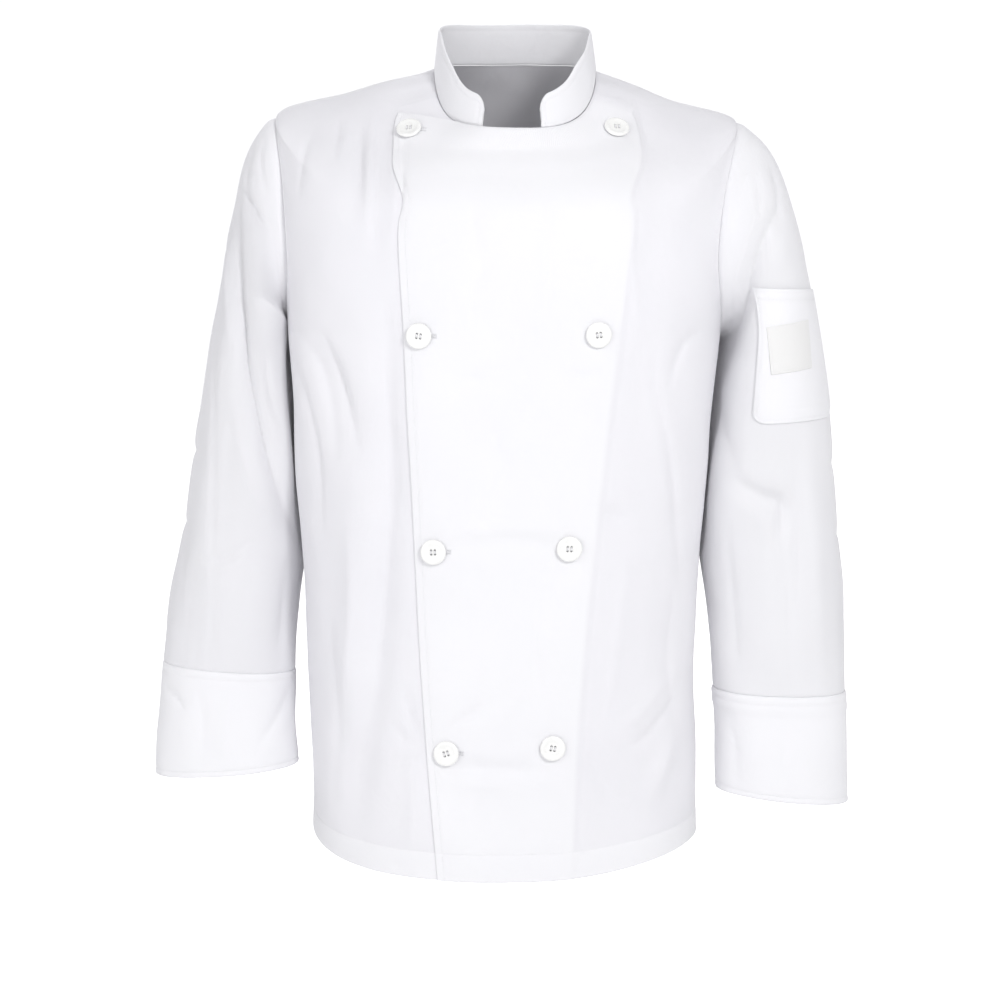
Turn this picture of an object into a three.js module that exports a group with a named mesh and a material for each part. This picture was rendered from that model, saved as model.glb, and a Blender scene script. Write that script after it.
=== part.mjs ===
// A double-breasted chef jacket in white poly-cotton, in the hollow form that it has when worn.
// Millimetres, +Z up. The front faces -Y and the wearer's left is +X.
// The origin is the middle of the neck seam, where the wearer's shoulders carry the jacket.

import * as THREE from "three";

// Driving sizes
const CLOTH = 1.6; // one layer of cloth as a wall
const BAND = 3.0; // the collar's several layers
const SEAM_GAP = 0.3; // between two pieces that a seam joins
const LAP_RISE = 2.6; // how far the top front stands out where it lies over the under front
const LAP_EASE = 30; // the stretch past the under front's edge where that rise dies away
const COLLAR_HEIGHT = 36;
const COLLAR_SEAT = 0.8; // its lower edge over the panels' straight steps
const COLLAR_END_HEIGHT = 15; // the upright end of the collar below its rounded corner
const COLLAR_CORNER = 12; // radius of that corner
const COLLAR_LEAN = 0.13; // how far the collar leans in for each millimetre that it rises
const COLLAR_END_RIGHT = -29; // x of the collar's end on the wearer's right
const COLLAR_END_LEFT = 24;
const BUTTON_RADIUS = 11.5;
const BUTTON_THICKNESS = 3.4;
const SLEEVE_CLEARANCE = 3; // between a sleeve and the body that it hangs beside
const QUARTER = Math.PI / 2;

// Steps of the walls
const ARMHOLE_STEPS = 10; // from the underarm to the shoulder tip, front or back
const SLEEVE_COLUMNS = 2 * ARMHOLE_STEPS;

// The body's rings from the hem to the neck seam. Each is a rounded box: its two sides and the middle in x,
// its depth to the front and the back, how boxy each half is (2 is an ellipse), its height at the front, at
// each side and at the back, how that height changes round the ring, and how far an arm presses the sides in.
const RINGS = [
  { at: 0.0, xRight: -190, middle: -10, xLeft: 173, front: 122, back: 117, boxFront: 2.5, boxBack: 2.3,
    zFront: -733, zRight: -699, zLeft: -709, zBack: -722,
    riseRight: 1.0, riseLeft: 3.0, round: 1.0, press: 0 },
  { at: 0.12, xRight: -191, middle: -12, xLeft: 173, front: 121, back: 113, boxFront: 2.5, boxBack: 2.3,
    zFront: -645, zRight: -630, zLeft: -634, zBack: -640,
    riseRight: 1.2, riseLeft: 2.2, round: 1.0, press: 1 },
  { at: 0.25, xRight: -198, middle: -13, xLeft: 173, front: 121, back: 109, boxFront: 2.5, boxBack: 2.3,
    zFront: -550, zRight: -545, zLeft: -546, zBack: -548,
    riseRight: 1.5, riseLeft: 1.5, round: 1.0, press: 7 },
  { at: 0.38, xRight: -204, middle: -12, xLeft: 179, front: 122, back: 107, boxFront: 2.5, boxBack: 2.3,
    zFront: -455, zRight: -453, zLeft: -453, zBack: -455,
    riseRight: 1.5, riseLeft: 1.5, round: 1.0, press: 13 },
  { at: 0.51, xRight: -210, middle: -9, xLeft: 187, front: 125, back: 110, boxFront: 2.5, boxBack: 2.4,
    zFront: -360, zRight: -361, zLeft: -361, zBack: -360,
    riseRight: 1.5, riseLeft: 1.5, round: 1.0, press: 16 },
  { at: 0.61, xRight: -212, middle: -7, xLeft: 193, front: 127, back: 117, boxFront: 2.6, boxBack: 2.5,
    zFront: -286, zRight: -292, zLeft: -292, zBack: -288,
    riseRight: 1.5, riseLeft: 1.5, round: 1.0, press: 16 },
  { at: 0.675, xRight: -214, middle: -6, xLeft: 196, front: 128, back: 122, boxFront: 2.7, boxBack: 2.6,
    zFront: -236, zRight: -243, zLeft: -245, zBack: -236,
    riseRight: 1.5, riseLeft: 1.5, round: 1.0, press: 13 },
  { at: 0.77, xRight: -216, middle: -5, xLeft: 201, front: 125, back: 126, boxFront: 2.8, boxBack: 2.8,
    zFront: -182, zRight: -138, zLeft: -142, zBack: -150,
    riseRight: 1.4, riseLeft: 1.4, round: 1.0, press: 2 },
  { at: 0.86, xRight: -218, middle: -5, xLeft: 204, front: 114, back: 118, boxFront: 2.7, boxBack: 2.8,
    zFront: -133, zRight: -46, zLeft: -50, zBack: -84,
    riseRight: 1.4, riseLeft: 1.4, round: 1.0, press: 0 },
  { at: 0.93, xRight: -150, middle: -4, xLeft: 142, front: 97, back: 94, boxFront: 2.5, boxBack: 2.4,
    zFront: -96, zRight: -22, zLeft: -29, zBack: -34,
    riseRight: 1.3, riseLeft: 1.3, round: 1.4, press: 0 },
  { at: 1.0, xRight: -74, middle: -3, xLeft: 75, front: 78, back: 62, boxFront: 2.1, boxBack: 2.1,
    zFront: -58, zRight: -2, zLeft: -5, zBack: 5,
    riseRight: 1.25, riseLeft: 1.25, round: 1.9, press: 0 },
];
const ARMPIT_AT = 0.675;
const TIP_AT = 0.86;
const PRESS_ANGLE = 1.7; // where round the ring an arm presses most, and how wide that hollow is
const PRESS_SPREAD = 0.42;

// The free edges of the two fronts: x of the top front's edge on the wearer's right, and of the under
// front's edge, hidden, on the wearer's left. Both lines run in towards the hem.
const EDGES = [
  { at: 0.0, top: -69, under: 51 },
  { at: 0.25, top: -83, under: 59 },
  { at: 0.51, top: -92, under: 78 },
  { at: 0.77, top: -101, under: 99 },
  { at: 0.93, top: -107, under: 111 },
  { at: 1.0, top: -112, under: 113 },
];
const EDGE_ANGLE_LIMIT = 1.18; // near the neck the edge lines stay this far from straight ahead
const CORNER_FROM = 25; // beyond this x a front's free top edge leaves the neck seam
const CORNER_TO = 113;
const CORNER_LOW = -57.5; // height of that edge at those two places
const CORNER_HIGH = -42;

// How far the armholes reach to the front, where the left one is cut in further, and to the back
const ARMHOLE_FRONT_RIGHT = 54;
const ARMHOLE_FRONT_LEFT = 70;
const ARMHOLE_BACK = 62;

// Each sleeve's rings from the upper arm (0) to the cuff seam (1) and the cuff's edge (2)
const SLEEVE_RIGHT = [
  { at: 0.0, xOuter: -277, xInner: -200, zOuter: -232, zInner: -276, yMiddle: 8, depth: 76, box: 2.2 },
  { at: 0.25, xOuter: -294, xInner: -194, zOuter: -322, zInner: -352, yMiddle: 10, depth: 72, box: 2.2 },
  { at: 0.5, xOuter: -309, xInner: -195, zOuter: -410, zInner: -430, yMiddle: 10, depth: 66, box: 2.1 },
  { at: 0.75, xOuter: -321, xInner: -202, zOuter: -488, zInner: -500, yMiddle: 0, depth: 56, box: 2.1 },
  { at: 1.0, xOuter: -328, xInner: -205, zOuter: -550, zInner: -559, yMiddle: -10, depth: 47, box: 2.1 },
  { at: 1.5, xOuter: -333, xInner: -206, zOuter: -603, zInner: -604, yMiddle: -15, depth: 44, box: 2.1 },
  { at: 2.0, xOuter: -336, xInner: -203, zOuter: -655, zInner: -645, yMiddle: -18, depth: 43, box: 2.1 },
];
const SLEEVE_LEFT = [
  { at: 0.0, xOuter: 276, xInner: 187, zOuter: -218, zInner: -276, yMiddle: -4, depth: 76, box: 2.2 },
  { at: 0.25, xOuter: 292, xInner: 177, zOuter: -312, zInner: -352, yMiddle: -4, depth: 72, box: 2.2 },
  { at: 0.5, xOuter: 301, xInner: 172, zOuter: -402, zInner: -427, yMiddle: -6, depth: 66, box: 2.1 },
  { at: 0.75, xOuter: 306, xInner: 182, zOuter: -492, zInner: -500, yMiddle: -14, depth: 56, box: 2.1 },
  { at: 1.0, xOuter: 309, xInner: 186, zOuter: -577, zInner: -574, yMiddle: -22, depth: 47, box: 2.1 },
  { at: 1.5, xOuter: 311, xInner: 188, zOuter: -628, zInner: -620, yMiddle: -26, depth: 44, box: 2.1 },
  { at: 2.0, xOuter: 313, xInner: 189, zOuter: -679, zInner: -666, yMiddle: -28, depth: 43, box: 2.1 },
];

// The largest folds. Each runs along a line in the front or back view, x and z, and stands out (or, below
// zero, sinks in) by its depth, dying away over its width to each side and towards its two ends.
const BODY_FOLDS = [
  { name: "hollow beside the top front's edge", face: "front", depth: -5, width: 13,
    line: [[-112, -215], [-112, -300], [-110, -390], [-118, -480], [-127, -570], [-141, -650],
      [-143, -728]] },
  { name: "roll outside that hollow", face: "front", depth: 3.5, width: 15,
    line: [[-146, -330], [-142, -420], [-148, -520], [-160, -610], [-168, -690]] },
  { name: "upper drape, outer", face: "front", depth: -3, width: 9,
    line: [[-141, -48], [-142, -90], [-143, -140]] },
  { name: "upper drape, inner", face: "front", depth: -3, width: 9,
    line: [[-117, -48], [-118, -110], [-119, -165]] },
  { name: "slant to the ribs", face: "front", depth: -3, width: 12,
    line: [[-180, -240], [-158, -290], [-140, -350]] },
  { name: "long drape on the left", face: "front", depth: 3, width: 13,
    line: [[128, -235], [129, -300], [142, -360], [150, -420]] },
  { name: "pull below the last button", face: "front", depth: -3, width: 11,
    line: [[62, -614], [84, -650], [116, -685]] },
  { name: "short fold by the left hip", face: "front", depth: 4, width: 9,
    line: [[126, -662], [138, -630], [146, -606]] },
  { name: "drag across the third buttons", face: "front", depth: -2, width: 9,
    line: [[-58, -428], [0, -423], [38, -426]] },
  { name: "drag across the last buttons", face: "front", depth: -3, width: 9,
    line: [[-66, -622], [0, -632], [36, -626]] },
  { name: "back drape, right", face: "back", depth: -5, width: 18,
    line: [[-95, -190], [-88, -340], [-80, -520], [-86, -700]] },
  { name: "back drape, left", face: "back", depth: -5, width: 18,
    line: [[88, -200], [80, -360], [68, -540], [72, -700]] },
  { name: "hollow of the back", face: "back", depth: -3, width: 26,
    line: [[-8, -330], [-6, -450], [-8, -600]] },
  { name: "slant from the right shoulder blade", face: "back", depth: 3, width: 14,
    line: [[-150, -170], [-120, -230], [-100, -300]] },
  { name: "slant from the left shoulder blade", face: "back", depth: 3, width: 14,
    line: [[140, -170], [112, -230], [92, -300]] },
];
const SLEEVE_RIGHT_FOLDS = [
  { name: "long fold down the front", face: "front", depth: -5, width: 10,
    line: [[-252, -125], [-251, -180], [-246, -235], [-240, -285], [-228, -335], [-217, -385],
      [-205, -430]] },
  { name: "arch under the armhole", face: "front", depth: 4, width: 11,
    line: [[-238, -212], [-222, -220], [-208, -250]] },
  { name: "cap fold", face: "front", depth: -3, width: 8,
    line: [[-250, -112], [-232, -132], [-216, -152]] },
  { name: "outer crease", face: "front", depth: 3, width: 12,
    line: [[-268, -240], [-276, -380], [-280, -540]] },
  { name: "elbow fold behind", face: "back", depth: -5, width: 11,
    line: [[-296, -352], [-262, -362], [-216, -350]] },
  { name: "lower elbow fold behind", face: "back", depth: -4, width: 11,
    line: [[-300, -412], [-264, -424], [-214, -414]] },
  { name: "forearm fold behind", face: "back", depth: -3, width: 12,
    line: [[-282, -450], [-262, -510], [-244, -545]] },
];
const SLEEVE_LEFT_FOLDS = [
  { name: "long fold down the front", face: "front", depth: -5, width: 11,
    line: [[240, -130], [218, -165], [204, -205], [193, -245], [186, -280]] },
  { name: "cap fold", face: "front", depth: -3, width: 8, line: [[209, -80], [200, -105], [193, -125]] },
  { name: "elbow crease", face: "front", depth: -4, width: 9,
    line: [[200, -378], [226, -392], [244, -400], [242, -430]] },
  { name: "outer crease", face: "front", depth: 2.5, width: 12,
    line: [[270, -350], [276, -450], [272, -540]] },
  { name: "elbow fold behind", face: "back", depth: -5, width: 11,
    line: [[290, -345], [250, -358], [204, -348]] },
  { name: "lower elbow fold behind", face: "back", depth: -4, width: 11,
    line: [[294, -410], [250, -424], [200, -412]] },
  { name: "forearm fold behind", face: "back", depth: -3, width: 12,
    line: [[262, -450], [246, -510], [232, -548]] },
];

// The buttons' places in the front view, four down each side of the overlap
const BUTTON_ROWS = [
  { row: 1, xRight: -94, zRight: -61, xLeft: 91, zLeft: -60 },
  { row: 2, xRight: -84, zRight: -240, xLeft: 73, zLeft: -239 },
  { row: 3, xRight: -72, zRight: -432, xLeft: 48, zLeft: -429 },
  { row: 4, xRight: -61, zRight: -615, xLeft: 34, zLeft: -610 },
];

// Cloth and button colours
const WHITE_CLOTH = { color: 0xf3f2f4, roughness: 0.86, metalness: 0 };
const WHITE_LABEL = { color: 0xf7f6f2, roughness: 0.6, metalness: 0 };
const WHITE_PEARL = { color: 0xf0eff0, roughness: 0.28, metalness: 0 };

// A smooth run through one column of a table, which never swings past the rows on either side.
function track(rows, column) {
  const at = rows.map((row) => row.at);
  const value = rows.map((row) => row[column]);
  const step = at.slice(1).map((x, i) => (value[i + 1] - value[i]) / (x - at[i]));
  const slope = at.map((_, i) => {
    if (i === 0) return step[0];
    if (i === at.length - 1) return step[i - 1];
    return step[i - 1] * step[i] <= 0 ? 0 : (2 * step[i - 1] * step[i]) / (step[i - 1] + step[i]);
  });
  return (x) => {
    let i = 0;
    while (i < at.length - 2 && x > at[i + 1]) i += 1;
    const width = at[i + 1] - at[i];
    const t = THREE.MathUtils.clamp((x - at[i]) / width, 0, 1);
    const rest = 1 - t;
    return value[i] * rest * rest * (1 + 2 * t) + value[i + 1] * t * t * (3 - 2 * t)
      + width * t * rest * (slope[i] * rest - slope[i + 1] * t);
  };
}

function tracks(rows) {
  const columns = Object.keys(rows[0]).filter((key) => key !== "at");
  return Object.fromEntries(columns.map((column) => [column, track(rows, column)]));
}

// The value between two limits up to which a test holds.
function halved(low, high, isBelow) {
  let [a, b] = [low, high];
  for (let i = 0; i < 30; i += 1) {
    const middle = (a + b) / 2;
    if (isBelow(middle)) a = middle;
    else b = middle;
  }
  return a;
}

const ring = tracks(RINGS);
const edges = tracks(EDGES);

function lineLength(line) {
  const steps = line.slice(1).map((point, i) => Math.hypot(point[0] - line[i][0], point[1] - line[i][1]));
  return steps.reduce((sum, step) => sum + step, 0);
}

// How a wall stands out at a point of the front or back view, from all the folds of that face.
function foldHeight(folds, face, x, z) {
  let height = 0;
  for (const fold of folds) {
    if (fold.face !== face) continue;
    const total = lineLength(fold.line);
    let best = Infinity;
    let along = 0;
    let run = 0;
    for (let i = 1; i < fold.line.length; i += 1) {
      const [x0, z0] = fold.line[i - 1];
      const [dx, dz] = [fold.line[i][0] - x0, fold.line[i][1] - z0];
      const length = Math.hypot(dx, dz);
      const t = THREE.MathUtils.clamp(((x - x0) * dx + (z - z0) * dz) / (length * length), 0, 1);
      const away = Math.hypot(x - x0 - t * dx, z - z0 - t * dz);
      if (away < best) {
        best = away;
        along = (run + t * length) / total;
      }
      run += length;
    }
    height += fold.depth * Math.exp(-((best / fold.width) ** 2)) * Math.sin(Math.PI * (0.1 + 0.8 * along));
  }
  return height;
}

// The body's plain form. The angle goes round from the front (0) to the wearer's left (a quarter turn).
function plainBody(angle, at) {
  const toLeft = Math.sin(angle);
  const toFront = Math.cos(angle);
  const front = toFront >= 0;
  const box = front ? ring.boxFront(at) : ring.boxBack(at);
  const reach = (Math.abs(toLeft) ** box + Math.abs(toFront) ** box) ** (-1 / box);
  const middle = ring.middle(at);
  const side = toLeft >= 0 ? ring.xLeft(at) : ring.xRight(at);
  const zSide = toLeft >= 0 ? ring.zLeft(at) : ring.zRight(at);
  const pressed = ring.press(at) * Math.exp(-(((Math.abs(angle) - PRESS_ANGLE) / PRESS_SPREAD) ** 2));
  const depth = front ? -ring.front(at) : ring.back(at);
  const level = reach * Math.abs(toFront);
  const rise = toLeft >= 0 ? ring.riseLeft(at) : ring.riseRight(at);
  const lift = 1 - (1 - Math.min(level, 1) ** rise) ** ring.round(at);
  const zEnd = front ? ring.zFront(at) : ring.zBack(at);
  return new THREE.Vector3(
    middle + (side - middle) * reach * Math.abs(toLeft) - Math.sign(toLeft) * pressed,
    depth * level,
    zSide + (zEnd - zSide) * lift,
  );
}

// The outward direction of a surface from two of its neighbours each way.
function normalOf(surface, a, b, da, db) {
  const alongA = surface(a + da, b).sub(surface(a - da, b));
  const alongB = surface(a, b + db).sub(surface(a, b - db));
  return alongA.cross(alongB).normalize();
}

function bodyNormal(angle, at) {
  const inside = THREE.MathUtils.clamp(at, 0.004, 0.996);
  return normalOf(plainBody, angle, inside, 0.01, 0.004);
}

// A point of the folded body, moved out by a distance.
function bodyPoint(angle, at, out) {
  const point = plainBody(angle, at);
  const face = Math.abs(angle) <= QUARTER ? "front" : "back";
  const fold = foldHeight(BODY_FOLDS, face, point.x, point.z) * sideFade(angle);
  return point.addScaledVector(bodyNormal(angle, at), out + fold);
}

// Folds die away at the side and shoulder seams.
function sideFade(angle) {
  return Math.min(1, Math.abs(Math.abs(angle) - QUARTER) / 0.2);
}

// The angle at which a ring of the body passes a given x.
function angleOfX(x, at) {
  const middle = ring.middle(at);
  const side = x >= middle ? ring.xLeft(at) : ring.xRight(at);
  const box = ring.boxFront(at);
  const share = Math.min((x - middle) / (side - middle), 0.999);
  return Math.sign(x - middle) * Math.atan2(share, (1 - share ** box) ** (1 / box));
}

// The angle at which a ring passes a given depth, to the front (y below 0) or to the back.
function angleOfY(y, at) {
  const box = y <= 0 ? ring.boxFront(at) : ring.boxBack(at);
  const share = Math.min(Math.abs(y) / (y <= 0 ? ring.front(at) : ring.back(at)), 1);
  const angle = Math.atan2((1 - share ** box) ** (1 / box), share);
  return y <= 0 ? angle : Math.PI - angle;
}

// The two free edges as angles, never further round than the neck allows.
function topEdgeAngle(at) {
  return Math.max(angleOfX(edges.top(at), at), -EDGE_ANGLE_LIMIT);
}

function underEdgeAngle(at) {
  return Math.min(angleOfX(edges.under(at), at), EDGE_ANGLE_LIMIT);
}

// A column of the overlap: -1 is the top front's free edge and 1 the under front's.
function overlapAngle(column, at) {
  return THREE.MathUtils.lerp(topEdgeAngle(at), underEdgeAngle(at), (column + 1) / 2);
}

// Where a column of the overlap meets the straight free top edge of one front, as a ring's place.
// The corner is the top front's on the wearer's right (side -1) or the under front's on the left (1).
function topOfColumn(column, side) {
  return halved(0.9, 1, (at) => {
    const point = plainBody(overlapAngle(column, at), at);
    const past = (side * point.x - CORNER_FROM) / (CORNER_TO - CORNER_FROM);
    return past <= 0 || point.z < THREE.MathUtils.lerp(CORNER_LOW, CORNER_HIGH, Math.min(past, 1));
  });
}

// Half the armhole's opening at an angle round it: 0 is the shoulder tip and half a turn the underarm.
function armholeAt(turn) {
  const middle = (TIP_AT + ARMPIT_AT) / 2;
  return middle + ((TIP_AT - ARMPIT_AT) / 2) * Math.cos(turn);
}

function armholeAngle(turn, side) {
  const across = Math.sin(turn);
  if (Math.abs(across) < 1e-6) return side * QUARTER;
  const reach = side === 1 ? ARMHOLE_FRONT_LEFT : ARMHOLE_FRONT_RIGHT;
  const y = across > 0 ? -reach * across ** 0.8 : ARMHOLE_BACK * (-across) ** 0.8;
  return side * angleOfY(y, armholeAt(turn));
}

// The rings' places for all body panels: the sides, then the armhole, then the shoulder.
const SIDE_STEPS = 19;
const SHOULDER_STEPS = 6;
const BODY_ROWS = [
  ...Array.from({ length: SIDE_STEPS }, (_, i) => {
    const at = (ARMPIT_AT * i) / SIDE_STEPS;
    return { at, edge: at, turn: Math.PI };
  }),
  ...Array.from({ length: ARMHOLE_STEPS }, (_, i) => {
    const turn = Math.PI * (1 - i / ARMHOLE_STEPS);
    const at = THREE.MathUtils.lerp(ARMPIT_AT, TIP_AT, i / ARMHOLE_STEPS);
    return { at, edge: armholeAt(turn), turn };
  }),
  ...Array.from({ length: SHOULDER_STEPS + 1 }, (_, i) => {
    const at = THREE.MathUtils.lerp(TIP_AT, 1, i / SHOULDER_STEPS);
    return { at, edge: at, turn: 0 };
  }),
];

// A row's place at a share of the way from the middle of a panel (0) to its outer edge (1). The rows are
// even in the middle, and at the edge they follow the armhole.
function rowAt(row, share) {
  return THREE.MathUtils.lerp(row.at, row.edge, share * share);
}

function armholePoint(turn, side) {
  return bodyPoint(armholeAngle(turn, side), armholeAt(turn), 0);
}

function armholeNormal(turn, side) {
  return bodyNormal(armholeAngle(turn, side), armholeAt(turn));
}

// From the panel's edge straight into the open armhole.
function intoArmhole(turn, side) {
  const edge = armholePoint(turn + 0.05, side).sub(armholePoint(turn - 0.05, side));
  return armholeNormal(turn, side).cross(edge).normalize().multiplyScalar(side);
}

// A panel's outer edge at a row: the side seam, the armhole or the shoulder seam.
function outerAngle(row, side, back) {
  return armholeAngle(back ? -row.turn : row.turn, side);
}

// A closed wall from a grid of outer points and one of inner points, optionally joined round its columns.
function wall(outer, inner, wrapped) {
  const rows = outer.length;
  const columns = outer[0].length;
  const positions = [];
  for (const grid of [outer, inner]) {
    for (const row of grid) for (const point of row) positions.push(point.x, point.y, point.z);
  }
  const out = (j, i) => j * columns + (i % columns);
  const inn = (j, i) => rows * columns + out(j, i);
  const indices = [];
  const quad = (a, b, c, d) => indices.push(a, b, c, a, c, d);
  const last = wrapped ? columns : columns - 1;
  // A slanting step is cut along its shorter diagonal, on both faces alike.
  const slants = (j, i) => {
    const next = (i + 1) % columns;
    const usual = outer[j][i].distanceTo(outer[j + 1][next]);
    return outer[j][next].distanceTo(outer[j + 1][i]) < 0.9 * usual;
  };
  for (let j = 0; j < rows - 1; j += 1) {
    for (let i = 0; i < last; i += 1) {
      const face = [out(j, i), out(j, i + 1), out(j + 1, i + 1), out(j + 1, i)];
      const back = [inn(j, i), inn(j + 1, i), inn(j + 1, i + 1), inn(j, i + 1)];
      if (slants(j, i)) for (const corners of [face, back]) corners.push(corners.shift());
      quad(...face);
      quad(...back);
    }
  }
  for (let i = 0; i < last; i += 1) {
    quad(out(0, i + 1), out(0, i), inn(0, i), inn(0, i + 1));
    quad(out(rows - 1, i), out(rows - 1, i + 1), inn(rows - 1, i + 1), inn(rows - 1, i));
  }
  if (!wrapped) {
    for (let j = 0; j < rows - 1; j += 1) {
      quad(out(j, 0), out(j + 1, 0), inn(j + 1, 0), inn(j, 0));
      quad(out(j + 1, columns - 1), out(j, columns - 1), inn(j, columns - 1), inn(j + 1, columns - 1));
    }
  }
  const geometry = new THREE.BufferGeometry();
  geometry.setAttribute("position", new THREE.Float32BufferAttribute(positions, 3));
  geometry.setIndex(indices);
  return geometry;
}

// Draws one edge column of a grid back from the seam line by half the gap.
function trimColumn(grid, column, towards) {
  for (const row of grid) {
    const step = row[towards].clone().sub(row[column]);
    row[column].addScaledVector(step.normalize(), SEAM_GAP / 2);
  }
}

function fraction(i, n) {
  return i / n;
}

// The top front's rise over the under front, dying away past the under front's edge.
function lapRise(angle, at) {
  const past = (plainBody(angle, at).x - plainBody(underEdgeAngle(at), at).x) / LAP_EASE;
  return LAP_RISE * (1 - THREE.MathUtils.smoothstep(past, 0.05, 1));
}

// Columns of a front: across the overlap, then from the other front's edge to the side.
const OVERLAP_COLUMNS = Array.from({ length: 11 }, (_, i) => -1 + i / 5);
const SIDE_COLUMNS = [0.1, 0.21, 0.33, 0.46, 0.6, 0.74, 0.87, 1];

// A front panel. The side is 1 for the wearer's left, which laps on top, and -1 for the right, below it.
function frontGrids(side) {
  const onTop = side === 1;
  const outer = [];
  const inner = [];
  for (const row of BODY_ROWS) {
    const places = OVERLAP_COLUMNS.map((column) => {
      const top = column * side < 0 ? topOfColumn(column, -side) : 1;
      const bend = 0.88;
      const at = row.at <= bend ? row.at : bend + ((row.at - bend) * (top - bend)) / (1 - bend);
      return { at, angle: overlapAngle(column, at) };
    });
    const end = outerAngle(row, side, false);
    for (const share of SIDE_COLUMNS) {
      const at = rowAt(row, share);
      const start = onTop ? underEdgeAngle(at) : topEdgeAngle(at);
      const place = { at, angle: THREE.MathUtils.lerp(start, end, share) };
      if (onTop) places.push(place);
      else places.unshift(place);
    }
    const rise = places.map((place) => (onTop ? lapRise(place.angle, place.at) : 0));
    outer.push(places.map((place, i) => bodyPoint(place.angle, place.at, rise[i])));
    inner.push(places.map((place, i) => bodyPoint(place.angle, place.at, rise[i] - CLOTH)));
  }
  for (const grid of [outer, inner]) {
    const last = grid[0].length - 1;
    if (onTop) trimColumn(grid, last, last - 1);
    else trimColumn(grid, 0, 1);
  }
  return { outer, inner };
}

const BACK_COLUMNS = 18;

function wrapAngle(angle) {
  return angle > Math.PI ? angle - 2 * Math.PI : angle;
}

function backGrids() {
  const outer = [];
  const inner = [];
  for (const row of BODY_ROWS) {
    const start = outerAngle(row, 1, true);
    const end = 2 * Math.PI + outerAngle(row, -1, true);
    const places = Array.from({ length: BACK_COLUMNS + 1 }, (_, i) => {
      const share = fraction(i, BACK_COLUMNS);
      const angle = THREE.MathUtils.lerp(start, end, share);
      return { at: rowAt(row, Math.abs(2 * share - 1)), angle: wrapAngle(angle) };
    });
    outer.push(places.map(({ angle, at }) => bodyPoint(angle, at, 0)));
    inner.push(places.map(({ angle, at }) => bodyPoint(angle, at, -CLOTH)));
  }
  for (const grid of [outer, inner]) {
    trimColumn(grid, 0, 1);
    trimColumn(grid, BACK_COLUMNS, BACK_COLUMNS - 1);
  }
  return { outer, inner };
}

// The collar goes from the wearer's left end round the back to the right end.
const COLLAR_STEPS = 40;
const COLLAR_ROWS = [0, 0.33, 0.67, 1];

// The neck seam, on top of the lap over the wearer's left front.
function neckPoint(angle) {
  const onLeftFront = angle > 0 && angle < QUARTER;
  return bodyPoint(angle, 1, onLeftFront ? lapRise(angle, 1) : 0);
}

function collarGrids() {
  const start = angleOfX(COLLAR_END_LEFT, 1);
  const end = 2 * Math.PI + angleOfX(COLLAR_END_RIGHT, 1);
  // The steps crowd at both ends, where the corners are round.
  const angles = Array.from({ length: COLLAR_STEPS + 1 }, (_, i) => {
    const t = fraction(i, COLLAR_STEPS);
    return THREE.MathUtils.lerp(start, end, t - 0.09 * Math.sin(2 * Math.PI * t));
  });
  const seam = angles.map((angle) => neckPoint(wrapAngle(angle)));
  const outer = COLLAR_ROWS.map(() => []);
  const inner = COLLAR_ROWS.map(() => []);
  angles.forEach((angle, i) => {
    const fromEnd = Math.min(seam[i].distanceTo(seam[0]), seam[i].distanceTo(seam[COLLAR_STEPS]));
    const corner = 1 - Math.min(fromEnd / COLLAR_CORNER, 1);
    const height = COLLAR_END_HEIGHT + COLLAR_CORNER * Math.sqrt(1 - corner * corner)
      + (COLLAR_HEIGHT - COLLAR_END_HEIGHT - COLLAR_CORNER) * Math.min(fromEnd / 60, 1);
    const along = seam[Math.min(i + 1, COLLAR_STEPS)].clone().sub(seam[Math.max(i - 1, 0)]).normalize();
    const outward = new THREE.Vector3(seam[i].x, seam[i].y + 8, 0).normalize();
    const up = new THREE.Vector3(0, 0, 1).addScaledVector(outward, -COLLAR_LEAN);
    up.addScaledVector(along, -0.6 * up.dot(along)).normalize();
    COLLAR_ROWS.forEach((share, j) => {
      const point = seam[i].clone().addScaledVector(up, COLLAR_SEAT + share * height);
      outer[j].push(point);
      inner[j].push(point.clone().addScaledVector(outward, -BAND));
    });
  });
  return { outer, inner };
}

// One ring of a sleeve: 0 is its outer side, a quarter turn the front and half a turn the side by the body.
function sleeveRing(columns, turn, at) {
  const outward = Math.cos(turn);
  const forward = Math.sin(turn);
  const box = columns.box(at);
  const reach = (Math.abs(outward) ** box + Math.abs(forward) ** box) ** (-1 / box);
  const across = (1 + reach * outward) / 2;
  return new THREE.Vector3(
    THREE.MathUtils.lerp(columns.xInner(at), columns.xOuter(at), across),
    columns.yMiddle(at) - columns.depth(at) * reach * forward,
    THREE.MathUtils.lerp(columns.zInner(at), columns.zOuter(at), across),
  );
}

// How far out the body's side reaches at a height and depth, so that a sleeve can hang clear of it.
function bodySide(y, z, side) {
  const zSide = side === 1 ? ring.zLeft : ring.zRight;
  const at = halved(0, ARMPIT_AT, (middle) => zSide(middle) < z);
  const depth = y <= 0 ? ring.front(at) : ring.back(at);
  if (Math.abs(y) >= depth) return 0;
  return side * plainBody(side * angleOfY(y, at), at).x;
}

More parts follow.
